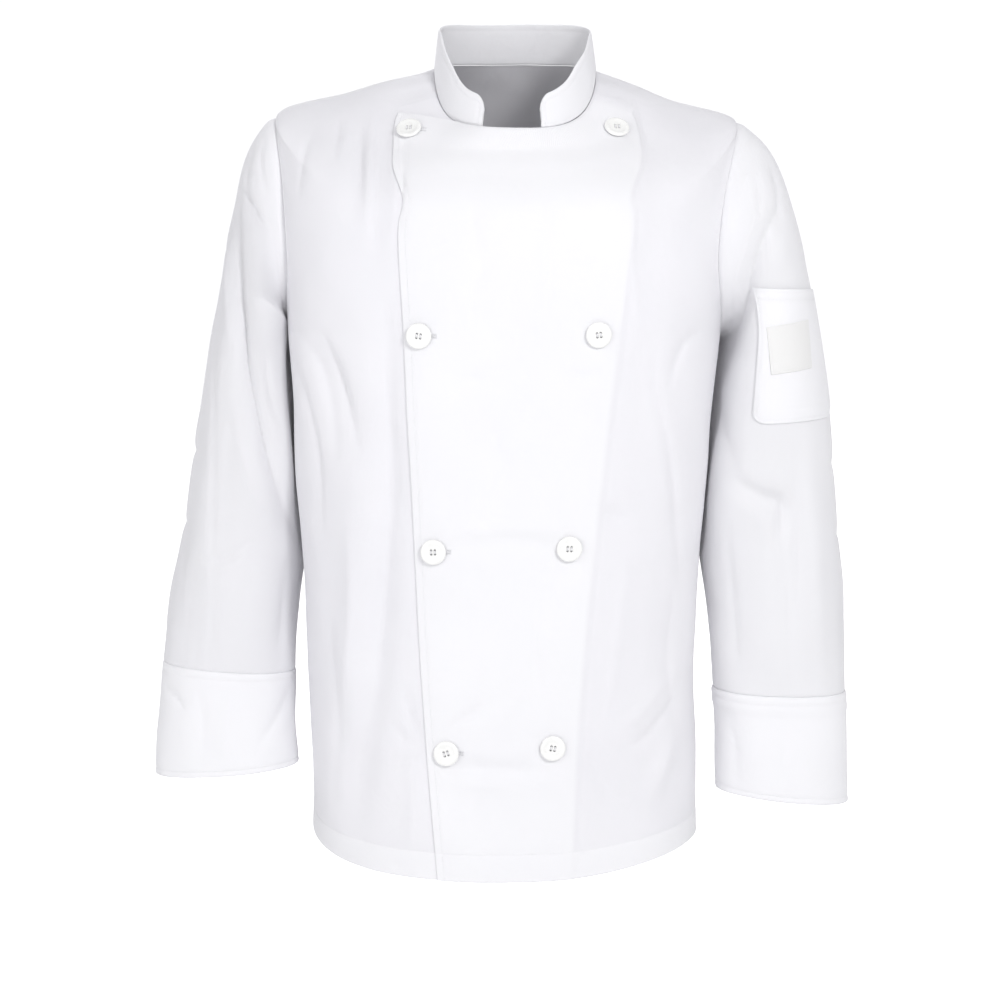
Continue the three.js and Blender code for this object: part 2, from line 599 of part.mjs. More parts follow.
// A sleeve's plain form: from -1 at the armhole to 0 at the upper arm, and on down its rings.
function plainSleeve(columns, side, turn, at) {
  let point;
  if (at >= 0) {
    point = sleeveRing(columns, turn, at);
  } else {
    const t = 1 + at;
    const rest = 1 - t;
    const top = Math.cos(turn);
    const start = armholePoint(turn, side);
    const outward = new THREE.Vector3(side, -0.3 * Math.sin(turn), -0.3).normalize();
    const end = sleeveRing(columns, turn, 0);
    const down = sleeveRing(columns, turn, 0.02).sub(end).normalize();
    start.addScaledVector(intoArmhole(turn, side), 1.8 * SEAM_GAP);
    const first = start.clone().addScaledVector(outward, 26 + 14 * top);
    const second = end.clone().addScaledVector(down, -(62 + 38 * top));
    point = start.multiplyScalar(rest ** 3).addScaledVector(first, 3 * rest * rest * t)
      .addScaledVector(second, 3 * rest * t * t).addScaledVector(end, t ** 3);
  }
  if (at > -0.8 && point.z < ring.zRight(ARMPIT_AT)) {
    const least = bodySide(point.y, point.z, side) + SLEEVE_CLEARANCE + CLOTH;
    if (side * point.x < least) point.x = side * least;
  }
  return point;
}

function sleevePoint(sleeve, turn, at, out) {
  const { columns, side, folds } = sleeve;
  const surface = (a, b) => plainSleeve(columns, side, a, b);
  const point = surface(turn, at);
  const inside = Math.max(at, -0.97);
  const normal = normalOf(surface, turn, inside, 0.03, 0.02).multiplyScalar(side);
  const face = Math.sin(turn) >= 0 ? "front" : "back";
  const fade = Math.min(1, Math.abs(Math.sin(turn)) / 0.45) * THREE.MathUtils.clamp((at + 1) * 5, 0, 1);
  const fold = foldHeight(folds, face, point.x, point.z) * fade;
  return point.addScaledVector(normal, out + fold);
}

const CAP_ROWS = [-1, -0.9, -0.78, -0.64, -0.48, -0.32, -0.16];
const ARM_ROWS = [0, 0.1, 0.2, 0.3, 0.4, 0.5, 0.6, 0.7, 0.8, 0.9, 1];
const CUFF_ROWS = [1, 1.25, 1.5, 1.75, 2];
const RIGHT_SLEEVE = { columns: tracks(SLEEVE_RIGHT), side: -1, folds: SLEEVE_RIGHT_FOLDS };
const LEFT_SLEEVE = { columns: tracks(SLEEVE_LEFT), side: 1, folds: SLEEVE_LEFT_FOLDS };

// The turns round a sleeve in the order that keeps its faces outward.
function sleeveTurns(side) {
  return Array.from({ length: SLEEVE_COLUMNS }, (_, i) => (side * -2 * Math.PI * i) / SLEEVE_COLUMNS);
}

function sleeveGrids(sleeve, rows) {
  const turns = sleeveTurns(sleeve.side);
  const outer = rows.map((at) => turns.map((turn) => sleevePoint(sleeve, turn, at, 0)));
  const inner = rows.map((at, j) => turns.map((turn, i) => {
    if (at > -1) return sleevePoint(sleeve, turn, at, -CLOTH);
    return outer[j][i].clone().addScaledVector(armholeNormal(turn, sleeve.side), -CLOTH);
  }));
  return { outer, inner };
}

// The lower end of a sleeve and the upper end of its cuff draw back from their seam.
function trimRow(grid, row, towards) {
  grid[row].forEach((point, i) => {
    const step = grid[towards][i].clone().sub(point);
    point.addScaledVector(step.normalize(), SEAM_GAP / 2);
  });
}

// How far down a sleeve a height is met, and how far round it an x of the front view is.
function sleeveAtHeight({ columns, side }, turn, z) {
  return halved(-0.9, 1, (at) => plainSleeve(columns, side, turn, at).z > z);
}

function sleeveTurnOf(sleeve, x, z) {
  const { columns, side } = sleeve;
  const outwardAt = (turn) => side * plainSleeve(columns, side, turn, sleeveAtHeight(sleeve, turn, z)).x;
  return halved(0, Math.PI, (turn) => outwardAt(turn) > side * x);
}

// A patch that lies on the left sleeve, from its corners in the front view (x and z): top outer, top inner,
// bottom outer and bottom inner. It stands off by a small gap more than the sleeve's straight steps bow.
const POCKET = {
  corners: [[271.5, -203], [211, -200], [290.6, -318], [215, -322]], wall: 1.2, off: 1.4, across: 6, down: 7,
};
const LABEL = {
  corners: [[263, -229], [226, -235], [267, -272], [231, -277]], wall: 0.8, off: 3.4, across: 4, down: 4,
};

function patchGrids({ corners, wall: thickness, off, across, down }) {
  const [topOuter, topInner, bottomOuter, bottomInner] = corners.map(([x, z]) => ({
    turn: sleeveTurnOf(LEFT_SLEEVE, x, z), z,
  }));
  const mix = THREE.MathUtils.lerp;
  const places = Array.from({ length: down + 1 }, (_, j) => Array.from({ length: across + 1 }, (__, i) => {
    const [s, t] = [fraction(i, across), fraction(j, down)];
    const turn = mix(mix(topInner.turn, topOuter.turn, s), mix(bottomInner.turn, bottomOuter.turn, s), t);
    const z = mix(mix(topInner.z, topOuter.z, s), mix(bottomInner.z, bottomOuter.z, s), t);
    return { turn, at: sleeveAtHeight(LEFT_SLEEVE, turn, z) };
  }));
  const lay = (out) => places.map((row) => row.map(({ turn, at }) => (
    sleevePoint(LEFT_SLEEVE, turn, at, out)
  )));
  return { outer: lay(off + thickness), inner: lay(off) };
}

// A grid whose faces point inwards is read from its other end.
function outwards(grids, wrapped) {
  const geometry = wall(grids.outer, grids.inner, wrapped);
  if (signedVolume(geometry) > 0) return geometry;
  const flip = (grid) => [...grid].reverse();
  return wall(flip(grids.outer), flip(grids.inner), wrapped);
}

function signedVolume(geometry) {
  const points = geometry.getAttribute("position");
  const corners = geometry.getIndex();
  const [a, b, c] = [new THREE.Vector3(), new THREE.Vector3(), new THREE.Vector3()];
  let volume = 0;
  for (let i = 0; i < corners.count; i += 3) {
    a.fromBufferAttribute(points, corners.getX(i));
    b.fromBufferAttribute(points, corners.getX(i + 1));
    c.fromBufferAttribute(points, corners.getX(i + 2));
    volume += a.dot(b.cross(c)) / 6;
  }
  return volume;
}

// A button is a shallow turned disc with a raised rim.
function buttonGeometry() {
  const r = BUTTON_RADIUS;
  const t = BUTTON_THICKNESS;
  const profile = [
    [0, 0], [0.8 * r, 0], [r, 0.32 * t], [r, 0.68 * t],
    [0.9 * r, t], [0.74 * r, 0.94 * t], [0.62 * r, 0.68 * t], [0, 0.68 * t],
  ];
  const lathe = new THREE.LatheGeometry(profile.map(([x, y]) => new THREE.Vector2(x, y)), 12);
  return lathe.rotateX(QUARTER);
}

// The place on the top front that shows at x and z in the front view.
function placeOnFront(x, z) {
  const angleAt = (at) => THREE.MathUtils.clamp(angleOfX(x, at), -EDGE_ANGLE_LIMIT, EDGE_ANGLE_LIMIT);
  const at = halved(0, 1, (middle) => plainBody(angleAt(middle), middle).z < z);
  return { at, angle: angleAt(at) };
}

function buttonMesh(name, x, z) {
  const { at, angle } = placeOnFront(x, z);
  const normal = bodyNormal(angle, at);
  const mesh = named(name, buttonGeometry(), WHITE_PEARL);
  // The wall bows under a flat button, so it stands a little further off than a seam's gap.
  const stand = lapRise(angle, at) + 2 * SEAM_GAP;
  mesh.position.copy(bodyPoint(angle, at, stand));
  mesh.quaternion.setFromUnitVectors(new THREE.Vector3(0, 0, 1), normal);
  return mesh;
}

function named(name, geometry, look) {
  const mesh = new THREE.Mesh(geometry, new THREE.MeshStandardMaterial(look));
  mesh.name = name;
  return mesh;
}

function sleeveMeshes(sleeve, word) {
  const arm = sleeveGrids(sleeve, [...CAP_ROWS, ...ARM_ROWS]);
  const cuff = sleeveGrids(sleeve, CUFF_ROWS);
  const armRows = CAP_ROWS.length + ARM_ROWS.length;
  for (const grid of [arm.outer, arm.inner]) trimRow(grid, armRows - 1, armRows - 2);
  for (const grid of [cuff.outer, cuff.inner]) trimRow(grid, 0, 1);
  return [
    named(`sleeve_${word}`, outwards(arm, true), WHITE_CLOTH),
    named(`cuff_${word}`, outwards(cuff, true), WHITE_CLOTH),
  ];
}

const jacket = new THREE.Group();
jacket.add(named("front_left", outwards(frontGrids(1), false), WHITE_CLOTH));
jacket.add(named("front_right", outwards(frontGrids(-1), false), WHITE_CLOTH));
jacket.add(named("back", outwards(backGrids(), false), WHITE_CLOTH));
jacket.add(named("collar", outwards(collarGrids(), false), WHITE_CLOTH));
jacket.add(...sleeveMeshes(LEFT_SLEEVE, "left"), ...sleeveMeshes(RIGHT_SLEEVE, "right"));
jacket.add(named("sleeve_pocket", outwards(patchGrids(POCKET), false), WHITE_CLOTH));
jacket.add(named("label", outwards(patchGrids(LABEL), false), WHITE_LABEL));
for (const { row, xRight, zRight, xLeft, zLeft } of BUTTON_ROWS) {
  jacket.add(buttonMesh(`button_right_${row}`, xRight, zRight));
  jacket.add(buttonMesh(`button_left_${row}`, xLeft, zLeft));
}

export default jacket;
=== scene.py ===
"""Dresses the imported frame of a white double-breasted chef jacket in cloth, sewing and buttons."""

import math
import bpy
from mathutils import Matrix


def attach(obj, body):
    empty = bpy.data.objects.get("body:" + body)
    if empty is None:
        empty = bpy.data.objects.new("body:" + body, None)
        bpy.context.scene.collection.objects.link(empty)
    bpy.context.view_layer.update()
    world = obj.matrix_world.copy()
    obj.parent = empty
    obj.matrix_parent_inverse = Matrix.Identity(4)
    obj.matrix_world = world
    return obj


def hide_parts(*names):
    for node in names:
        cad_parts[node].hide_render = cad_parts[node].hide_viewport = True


bl_info = {
    "name": "Chef jacket",
    "version": (1, 0, 0),
    "blender": (4, 5, 0),
    "location": "3D View > Sidebar > Chef jacket",
    "description": "Builds a worn double-breasted chef jacket with its folds, sewing and pearl buttons",
    "category": "Add Mesh",
}

from functools import lru_cache
from types import SimpleNamespace

import bpy
import numpy as np
from bpy.props import FloatProperty, FloatVectorProperty, PointerProperty
from mathutils import Matrix, Vector

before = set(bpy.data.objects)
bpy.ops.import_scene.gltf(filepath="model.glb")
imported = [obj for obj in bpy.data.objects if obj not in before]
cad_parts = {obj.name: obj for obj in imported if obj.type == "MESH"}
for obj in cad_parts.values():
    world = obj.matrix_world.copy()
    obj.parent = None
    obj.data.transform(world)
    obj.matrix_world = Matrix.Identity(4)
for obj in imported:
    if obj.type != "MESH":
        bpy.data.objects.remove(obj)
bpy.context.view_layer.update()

# The pattern's tables and surfaces are in millimetres, and a mesh is in metres.
MM = 0.001
QUARTER = math.pi / 2

# Rings of the body from the hem to the neck seam
RING_COLUMNS = (
    "at right middle left front back box_front box_back z_front z_right z_left z_back "
    "rise_right rise_left round press"
).split()
RINGS = [
    (0.00, -190, -10, 173, 122, 117, 2.5, 2.3, -733, -699, -709, -722, 1.0, 3.0, 1.0, 0),
    (0.12, -191, -12, 173, 121, 113, 2.5, 2.3, -645, -630, -634, -640, 1.2, 2.2, 1.0, 1),
    (0.25, -198, -13, 173, 121, 109, 2.5, 2.3, -550, -545, -546, -548, 1.5, 1.5, 1.0, 7),
    (0.38, -204, -12, 179, 122, 107, 2.5, 2.3, -455, -453, -453, -455, 1.5, 1.5, 1.0, 13),
    (0.51, -210, -9, 187, 125, 110, 2.5, 2.4, -360, -361, -361, -360, 1.5, 1.5, 1.0, 16),
    (0.61, -212, -7, 193, 127, 117, 2.6, 2.5, -286, -292, -292, -288, 1.5, 1.5, 1.0, 16),
    (0.675, -214, -6, 196, 128, 122, 2.7, 2.6, -236, -243, -245, -236, 1.5, 1.5, 1.0, 13),
    (0.77, -216, -5, 201, 125, 126, 2.8, 2.8, -182, -138, -142, -150, 1.4, 1.4, 1.0, 2),
    (0.86, -218, -5, 204, 114, 118, 2.7, 2.8, -133, -46, -50, -84, 1.4, 1.4, 1.0, 0),
    (0.93, -150, -4, 142, 97, 94, 2.5, 2.4, -96, -22, -29, -34, 1.3, 1.3, 1.4, 0),
    (1.00, -74, -3, 75, 78, 62, 2.1, 2.1, -58, -2, -5, 5, 1.25, 1.25, 1.9, 0),
]
ARMPIT_AT = 0.675
TIP_AT = 0.86
PRESS_ANGLE = 1.7
PRESS_SPREAD = 0.42

# The free edges of the fronts: x of the top front's edge and of the under front's
EDGE_COLUMNS = "at top under".split()
EDGES = [
    (0.00, -69, 51),
    (0.25, -83, 59),
    (0.51, -92, 78),
    (0.77, -101, 99),
    (0.93, -107, 111),
    (1.00, -112, 113),
]
EDGE_ANGLE_LIMIT = 1.18
CORNER_FROM = 25
CORNER_TO = 113
CORNER_LOW = -57.5
CORNER_HIGH = -42
LAP_RISE = 2.6
LAP_EASE = 30

ARMHOLE_FRONT_RIGHT = 54
ARMHOLE_FRONT_LEFT = 70
ARMHOLE_BACK = 62

COLLAR_HEIGHT = 36
COLLAR_BAND = 3.0
COLLAR_END_HEIGHT = 15
COLLAR_CORNER = 12
COLLAR_LEAN = 0.13
COLLAR_SEAT = 0.8
COLLAR_END_RIGHT = -29
COLLAR_END_LEFT = 24

# Rings of each sleeve: 0 at the upper arm, 1 at the cuff seam and 2 at the cuff's edge
SLEEVE_COLUMNS = "at x_outer x_inner z_outer z_inner y_middle depth box".split()
SLEEVE_RIGHT = [
    (0.00, -277, -200, -232, -276, 8, 76, 2.2),
    (0.25, -294, -194, -322, -352, 10, 72, 2.2),
    (0.50, -309, -195, -410, -430, 10, 66, 2.1),
    (0.75, -321, -202, -488, -500, 0, 56, 2.1),
    (1.00, -328, -205, -550, -559, -10, 47, 2.1),
    (1.50, -333, -206, -603, -604, -15, 44, 2.1),
    (2.00, -336, -203, -655, -645, -18, 43, 2.1),
]
SLEEVE_LEFT = [
    (0.00, 276, 187, -218, -276, -4, 76, 2.2),
    (0.25, 292, 177, -312, -352, -4, 72, 2.2),
    (0.50, 301, 172, -402, -427, -6, 66, 2.1),
    (0.75, 306, 182, -492, -500, -14, 56, 2.1),
    (1.00, 309, 186, -577, -574, -22, 47, 2.1),
    (1.50, 311, 188, -628, -620, -26, 44, 2.1),
    (2.00, 313, 189, -679, -666, -28, 43, 2.1),
]
SLEEVE_CLEARANCE = 3
WALL = 1.6

# The large folds, as in the solids. Each row: where, face, depth, width, steepness of its two sides
# against each other, and the line that it follows in the front or back view.
FOLDS = [
    ("body", "front", -5, 13, 1.0, [(-112, -215), (-112, -300), (-110, -390), (-118, -480),
                                    (-127, -570), (-141, -650), (-143, -728)]),
    ("body", "front", 3.5, 15, 1.0, [(-146, -330), (-142, -420), (-148, -520), (-160, -610), (-168, -690)]),
    ("body", "front", -3, 9, 1.0, [(-141, -48), (-142, -90), (-143, -140)]),
    ("body", "front", -3, 9, 1.0, [(-117, -48), (-118, -110), (-119, -165)]),
    ("body", "front", -3, 12, 1.0, [(-180, -240), (-158, -290), (-140, -350)]),
    ("body", "front", 3, 13, 1.0, [(128, -235), (129, -300), (142, -360), (150, -420)]),
    ("body", "front", -3, 11, 1.0, [(62, -614), (84, -650), (116, -685)]),
    ("body", "front", 4, 9, 1.0, [(126, -662), (138, -630), (146, -606)]),
    ("body", "front", -2, 9, 1.0, [(-58, -428), (0, -423), (38, -426)]),
    ("body", "front", -3, 9, 1.0, [(-66, -622), (0, -632), (36, -626)]),
    ("body", "back", -5, 18, 1.0, [(-95, -190), (-88, -340), (-80, -520), (-86, -700)]),
    ("body", "back", -5, 18, 1.0, [(88, -200), (80, -360), (68, -540), (72, -700)]),
    ("body", "back", -3, 26, 1.0, [(-8, -330), (-6, -450), (-8, -600)]),
    ("body", "back", 3, 14, 1.0, [(-150, -170), (-120, -230), (-100, -300)]),
    ("body", "back", 3, 14, 1.0, [(140, -170), (112, -230), (92, -300)]),
    ("right", "front", -5, 10, 1.0, [(-252, -125), (-251, -180), (-246, -235), (-240, -285),
                                     (-228, -335), (-217, -385), (-205, -430)]),
    ("right", "front", 4, 11, 1.0, [(-238, -212), (-222, -220), (-208, -250)]),
    ("right", "front", -3, 8, 1.0, [(-250, -112), (-232, -132), (-216, -152)]),
    ("right", "front", 3, 12, 1.0, [(-268, -240), (-276, -380), (-280, -540)]),
    ("right", "back", -5, 11, 1.0, [(-296, -352), (-262, -362), (-216, -350)]),
    ("right", "back", -4, 11, 1.0, [(-300, -412), (-264, -424), (-214, -414)]),
    ("right", "back", -3, 12, 1.0, [(-282, -450), (-262, -510), (-244, -545)]),
    ("left", "front", -5, 11, 1.0, [(240, -130), (218, -165), (204, -205), (193, -245), (186, -280)]),
    ("left", "front", -3, 8, 1.0, [(209, -80), (200, -105), (193, -125)]),
    ("left", "front", -4, 9, 1.0, [(200, -378), (226, -392), (244, -400), (242, -430)]),
    ("left", "front", 2.5, 12, 1.0, [(270, -350), (276, -450), (272, -540)]),
    ("left", "back", -5, 11, 1.0, [(290, -345), (250, -358), (204, -348)]),
    ("left", "back", -4, 11, 1.0, [(294, -410), (250, -424), (200, -412)]),
    ("left", "back", -3, 12, 1.0, [(262, -450), (246, -510), (232, -548)]),
]

# The smaller creases, with the same columns
CREASES = [
    ("right", "front", -3.2, 6, 0.6, [(-251, -120), (-250, -170), (-246, -230), (-241, -275),
                                      (-230, -322), (-218, -376), (-204, -424)]),
    ("right", "front", 2.0, 5, 1.0, [(-240, -206), (-226, -212), (-212, -236), (-206, -258)]),
    ("right", "front", -1.6, 4, 0.6, [(-252, -110), (-236, -128), (-217, -150)]),
    ("right", "front", -1.4, 5, 1.5, [(-272, -236), (-274, -340), (-277, -460), (-278, -548)]),
    ("left", "front", -3.0, 6, 1.5, [(240, -126), (220, -160), (206, -200), (196, -240), (188, -282)]),
    ("left", "front", -2.0, 4, 0.6, [(208, -78), (199, -98), (190, -120)]),
    ("left", "front", -2.4, 5, 1.5, [(200, -374), (224, -387), (242, -394), (240, -426)]),
    ("body", "front", -1.8, 5, 0.6, [(-137, -46), (-137, -80), (-135, -128)]),
    ("body", "front", -1.8, 4, 1.2, [(-125, -48), (-124, -98), (-123, -164)]),
    ("body", "front", -2.0, 6, 0.6, [(-172, -238), (-154, -282), (-140, -338)]),
    ("body", "front", -1.8, 6, 0.6, [(-112, -220), (-111, -300), (-110, -392), (-118, -480), (-128, -570)]),
    ("body", "front", -1.5, 6, 1.5, [(124, -238), (125, -292), (138, -346), (149, -410)]),
    ("body", "back", -2.0, 6, 0.6, [(-96, -190), (-88, -330), (-81, -500), (-84, -640)]),
    ("body", "back", -2.0, 6, 1.5, [(90, -200), (81, -350), (70, -520), (72, -660)]),
    ("body", "front", -1.8, 5, 0.6, [(-156, -46), (-158, -62), (-160, -82)]),
    ("body", "front", -1.4, 5, 1.5, [(-181, -56), (-190, -80), (-194, -116)]),
    ("body", "front", 1.4, 7, 1.0, [(-129, -50), (-130, -92), (-131, -150)]),
    ("body", "front", -1.5, 6, 0.6, [(-98, -60), (-99, -110), (-101, -150)]),
    ("body", "front", -2.0, 7, 1.7, [(-196, -240), (-178, -262), (-166, -300), (-160, -352)]),
    ("body", "front", -1.6, 7, 0.6, [(-200, -262), (-186, -300), (-176, -360), (-174, -420)]),
    ("body", "front", -1.2, 4, 1.0, [(-55, -278), (-35, -276), (-17, -277)]),
    ("body", "front", -1.0, 4, 1.0, [(40, -276), (58, -274), (77, -275)]),
    ("body", "front", 1.2, 6, 1.0, [(-52, -415), (-12, -411), (34, -414)]),
    ("body", "front", -1.5, 4, 1.6, [(-66, -626), (-46, -629), (-22, -630), (20, -627)]),
    ("body", "front", 1.6, 7, 1.0, [(-62, -640), (-28, -644), (24, -641)]),
    ("body", "front", -1.6, 5, 0.6, [(-60, -592), (-44, -581), (-27, -568)]),
    ("body", "front", 1.0, 8, 1.0, [(-30, -596), (-8, -578), (10, -556)]),
    ("body", "front", -1.6, 5, 1.0, [(-112, -590), (-98, -603), (-85, -612)]),
    ("body", "front", -1.4, 5, 1.0, [(-110, -636), (-96, -626), (-84, -618)]),
    ("body", "front", -1.8, 5, 1.0, [(-100, -560), (-91, -586), (-84, -608)]),
    ("body", "front", 1.5, 8, 1.0, [(-96, -618), (-92, -652), (-94, -700)]),
    ("body", "front", -1.8, 8, 1.0, [(80, -390), (90, -400), (102, -407)]),
    ("body", "front", -1.6, 6, 0.6, [(98, -614), (118, -604), (150, -572)]),
    ("body", "front", 1.4, 8, 1.0, [(92, -596), (112, -584), (140, -556)]),
    ("body", "front", -1.6, 7, 1.4, [(134, -330), (144, -390), (152, -470)]),
    ("body", "front", 1.4, 9, 1.0, [(108, -120), (103, -176), (110, -232)]),
    ("body", "front", -1.6, 7, 0.7, [(168, -236), (150, -252), (138, -284)]),
    ("body", "front", -1.5, 8, 1.4, [(-168, -500), (-160, -590), (-166, -672)]),
    ("body", "front", 1.4, 9, 1.0, [(-150, -400), (-147, -480), (-153, -570)]),
    ("body", "front", -1.2, 9, 1.0, [(146, -470), (140, -540), (150, -600)]),
    ("body", "front", 1.2, 10, 1.0, [(100, -440), (92, -520), (84, -590)]),
    ("body", "front", -1.0, 10, 1.0, [(-40, -120), (-30, -180), (-46, -236)]),
    ("body", "front", 0.9, 12, 1.0, [(20, -110), (30, -180), (22, -250)]),
    ("body", "front", -0.8, 11, 1.0, [(-30, -310), (-10, -350), (-24, -400)]),
    ("body", "front", -0.9, 10, 1.0, [(34, -450), (16, -500), (22, -560)]),
    ("body", "back", -1.8, 7, 0.6, [(-176, -150), (-150, -196), (-138, -250)]),
    ("body", "back", -1.8, 7, 1.6, [(168, -160), (146, -206), (132, -262)]),
    ("body", "back", -1.5, 6, 0.7, [(-190, -250), (-160, -268), (-128, -300)]),
    ("body", "back", -1.6, 6, 1.5, [(178, -256), (150, -276), (118, -312)]),
    ("body", "back", 1.8, 10, 1.0, [(-60, -160), (-56, -260), (-50, -380)]),
    ("body", "back", 1.6, 10, 1.0, [(50, -170), (46, -280), (42, -390)]),
    ("body", "back", -1.3, 6, 0.7, [(-60, -372), (-20, -384), (30, -378), (64, -362)]),
    ("body", "back", -1.1, 6, 1.4, [(-72, -418), (-26, -430), (20, -424)]),
    ("body", "back", -1.6, 8, 0.7, [(-140, -420), (-132, -520), (-140, -640)]),
    ("body", "back", -1.5, 8, 1.5, [(130, -440), (120, -540), (126, -660)]),
    ("body", "back", 1.6, 12, 1.0, [(-30, -480), (-34, -590), (-38, -712)]),
    ("body", "back", 1.4, 12, 1.0, [(30, -470), (34, -580), (30, -708)]),
    ("body", "back", -1.2, 7, 1.0, [(-46, -52), (-50, -90), (-58, -130)]),
    ("body", "back", -1.2, 7, 1.0, [(52, -52), (58, -92), (66, -128)]),
    ("right", "front", -1.6, 5, 0.6, [(-226, -60), (-230, -86), (-224, -114)]),
    ("right", "front", -1.5, 5, 1.5, [(-239, -68), (-245, -96), (-243, -122)]),
    ("right", "front", 2.0, 8, 1.0, [(-262, -130), (-262, -190), (-258, -250)]),
    ("right", "front", -1.8, 6, 0.6, [(-226, -250), (-222, -292), (-212, -330)]),
    ("right", "front", 1.6, 8, 1.0, [(-256, -300), (-246, -360), (-232, -410)]),
    ("right", "front", -1.8, 7, 1.5, [(-208, -446), (-212, -490), (-218, -540)]),
    ("right", "front", -1.3, 7, 1.0, [(-300, -300), (-304, -400), (-312, -500)]),
    ("right", "front", -1.5, 5, 0.7, [(-240, -430), (-262, -448), (-290, -452)]),
    ("right", "front", -1.6, 4, 0.6, [(-326, -569), (-314, -576), (-304, -588)]),
    ("right", "front", -1.2, 6, 1.0, [(-293, -566), (-287, -598), (-288, -634)]),
    ("right", "front", -1.5, 7, 1.5, [(-206, -568), (-218, -594), (-236, -622)]),
    ("right", "front", 1.2, 9, 1.0, [(-262, -570), (-268, -604), (-266, -640)]),
    ("right", "back", -2.0, 6, 0.6, [(-232, -96), (-236, -150), (-244, -212)]),
    ("right", "back", 1.8, 9, 1.0, [(-256, -140), (-262, -210), (-270, -290)]),
    ("right", "back", -1.8, 6, 1.5, [(-214, -250), (-232, -282), (-262, -306)]),
    ("right", "back", -1.5, 6, 0.7, [(-290, -470), (-262, -484), (-226, -478)]),
    ("right", "back", -1.3, 6, 1.0, [(-300, -580), (-280, -596), (-262, -626)]),
    ("right", "outer", -2.0, 7, 0.6, [(-30, -150), (-8, -200), (16, -232)]),
    ("right", "outer", -1.8, 7, 1.5, [(44, -330), (10, -352), (-26, -352)]),
    ("right", "outer", -1.8, 7, 0.6, [(44, -398), (12, -420), (-20, -424)]),
    ("right", "outer", 1.6, 10, 1.0, [(2, -430), (-4, -480), (-6, -540)]),
    ("right", "outer", -1.4, 8, 1.0, [(20, -450), (14, -500), (6, -545)]),
    ("left", "front", -1.5, 4, 0.6, [(218, -94), (219, -114), (219, -140)]),
    ("left", "front", -1.4, 4, 1.5, [(227, -146), (227, -164), (228, -184)]),
    ("left", "front", 2.0, 8, 1.0, [(222, -118), (210, -152), (198, -190)]),
    ("left", "front", -1.6, 5, 0.7, [(233, -90), (238, -112), (240, -140)]),
    ("left", "front", -1.4, 6, 1.5, [(186, -290), (190, -330), (202, -368)]),
    ("left", "front", 1.6, 8, 1.0, [(204, -392), (222, -406), (232, -436)]),
    ("left", "front", -1.2, 8, 0.7, [(196, -420), (200, -480), (206, -546)]),
    ("left", "front", -1.1, 7, 1.0, [(250, -340), (258, -420), (256, -500)]),
    ("left", "front", -1.2, 7, 1.4, [(196, -590), (204, -622), (206, -660)]),
    ("left", "front", 1.0, 10, 1.0, [(246, -600), (250, -632), (250, -664)]),
    ("left", "back", -2.0, 6, 0.6, [(222, -98), (228, -156), (238, -214)]),
    ("left", "back", 1.8, 9, 1.0, [(246, -140), (254, -214), (262, -290)]),
    ("left", "back", -1.8, 6, 1.5, [(204, -252), (224, -286), (254, -308)]),
    ("left", "back", -1.5, 6, 0.7, [(280, -474), (252, -488), (216, -482)]),
    ("left", "back", -1.2, 6, 1.0, [(292, -604), (272, -618), (250, -650)]),
    ("left", "outer", -1.8, 7, 0.6, [(-34, -150), (-12, -196), (10, -226)]),
    ("left", "outer", -1.8, 7, 1.5, [(34, -338), (2, -360), (-34, -362)]),
    ("left", "outer", -1.6, 7, 0.6, [(32, -404), (4, -426), (-26, -430)]),
    ("left", "outer", 1.6, 10, 1.0, [(-12, -436), (-18, -490), (-20, -556)]),
    ("left", "outer", -1.3, 8, 1.0, [(6, -460), (0, -510), (-8, -560)]),
]

# The buttons' places in the front view, four down each side of the overlap
BUTTON_ROWS = [
    {"row": 1, "x_right": -94, "z_right": -61, "x_left": 91, "z_left": -60, "twist": 0.12},
    {"row": 2, "x_right": -84, "z_right": -240, "x_left": 73, "z_left": -239, "twist": -0.16},
    {"row": 3, "x_right": -72, "z_right": -432, "x_left": 48, "z_left": -429, "twist": 0.05},
    {"row": 4, "x_right": -61, "z_right": -615, "x_left": 34, "z_left": -610, "twist": 0.28},
]

# The patches on the left sleeve: corners in the front view, top outer, top inner, bottom outer, bottom inner
POCKET_CORNERS = [(271.5, -203), (211, -200), (290.6, -318), (215, -322)]
LABEL_CORNERS = [(263, -229), (226, -235), (267, -272), (231, -277)]


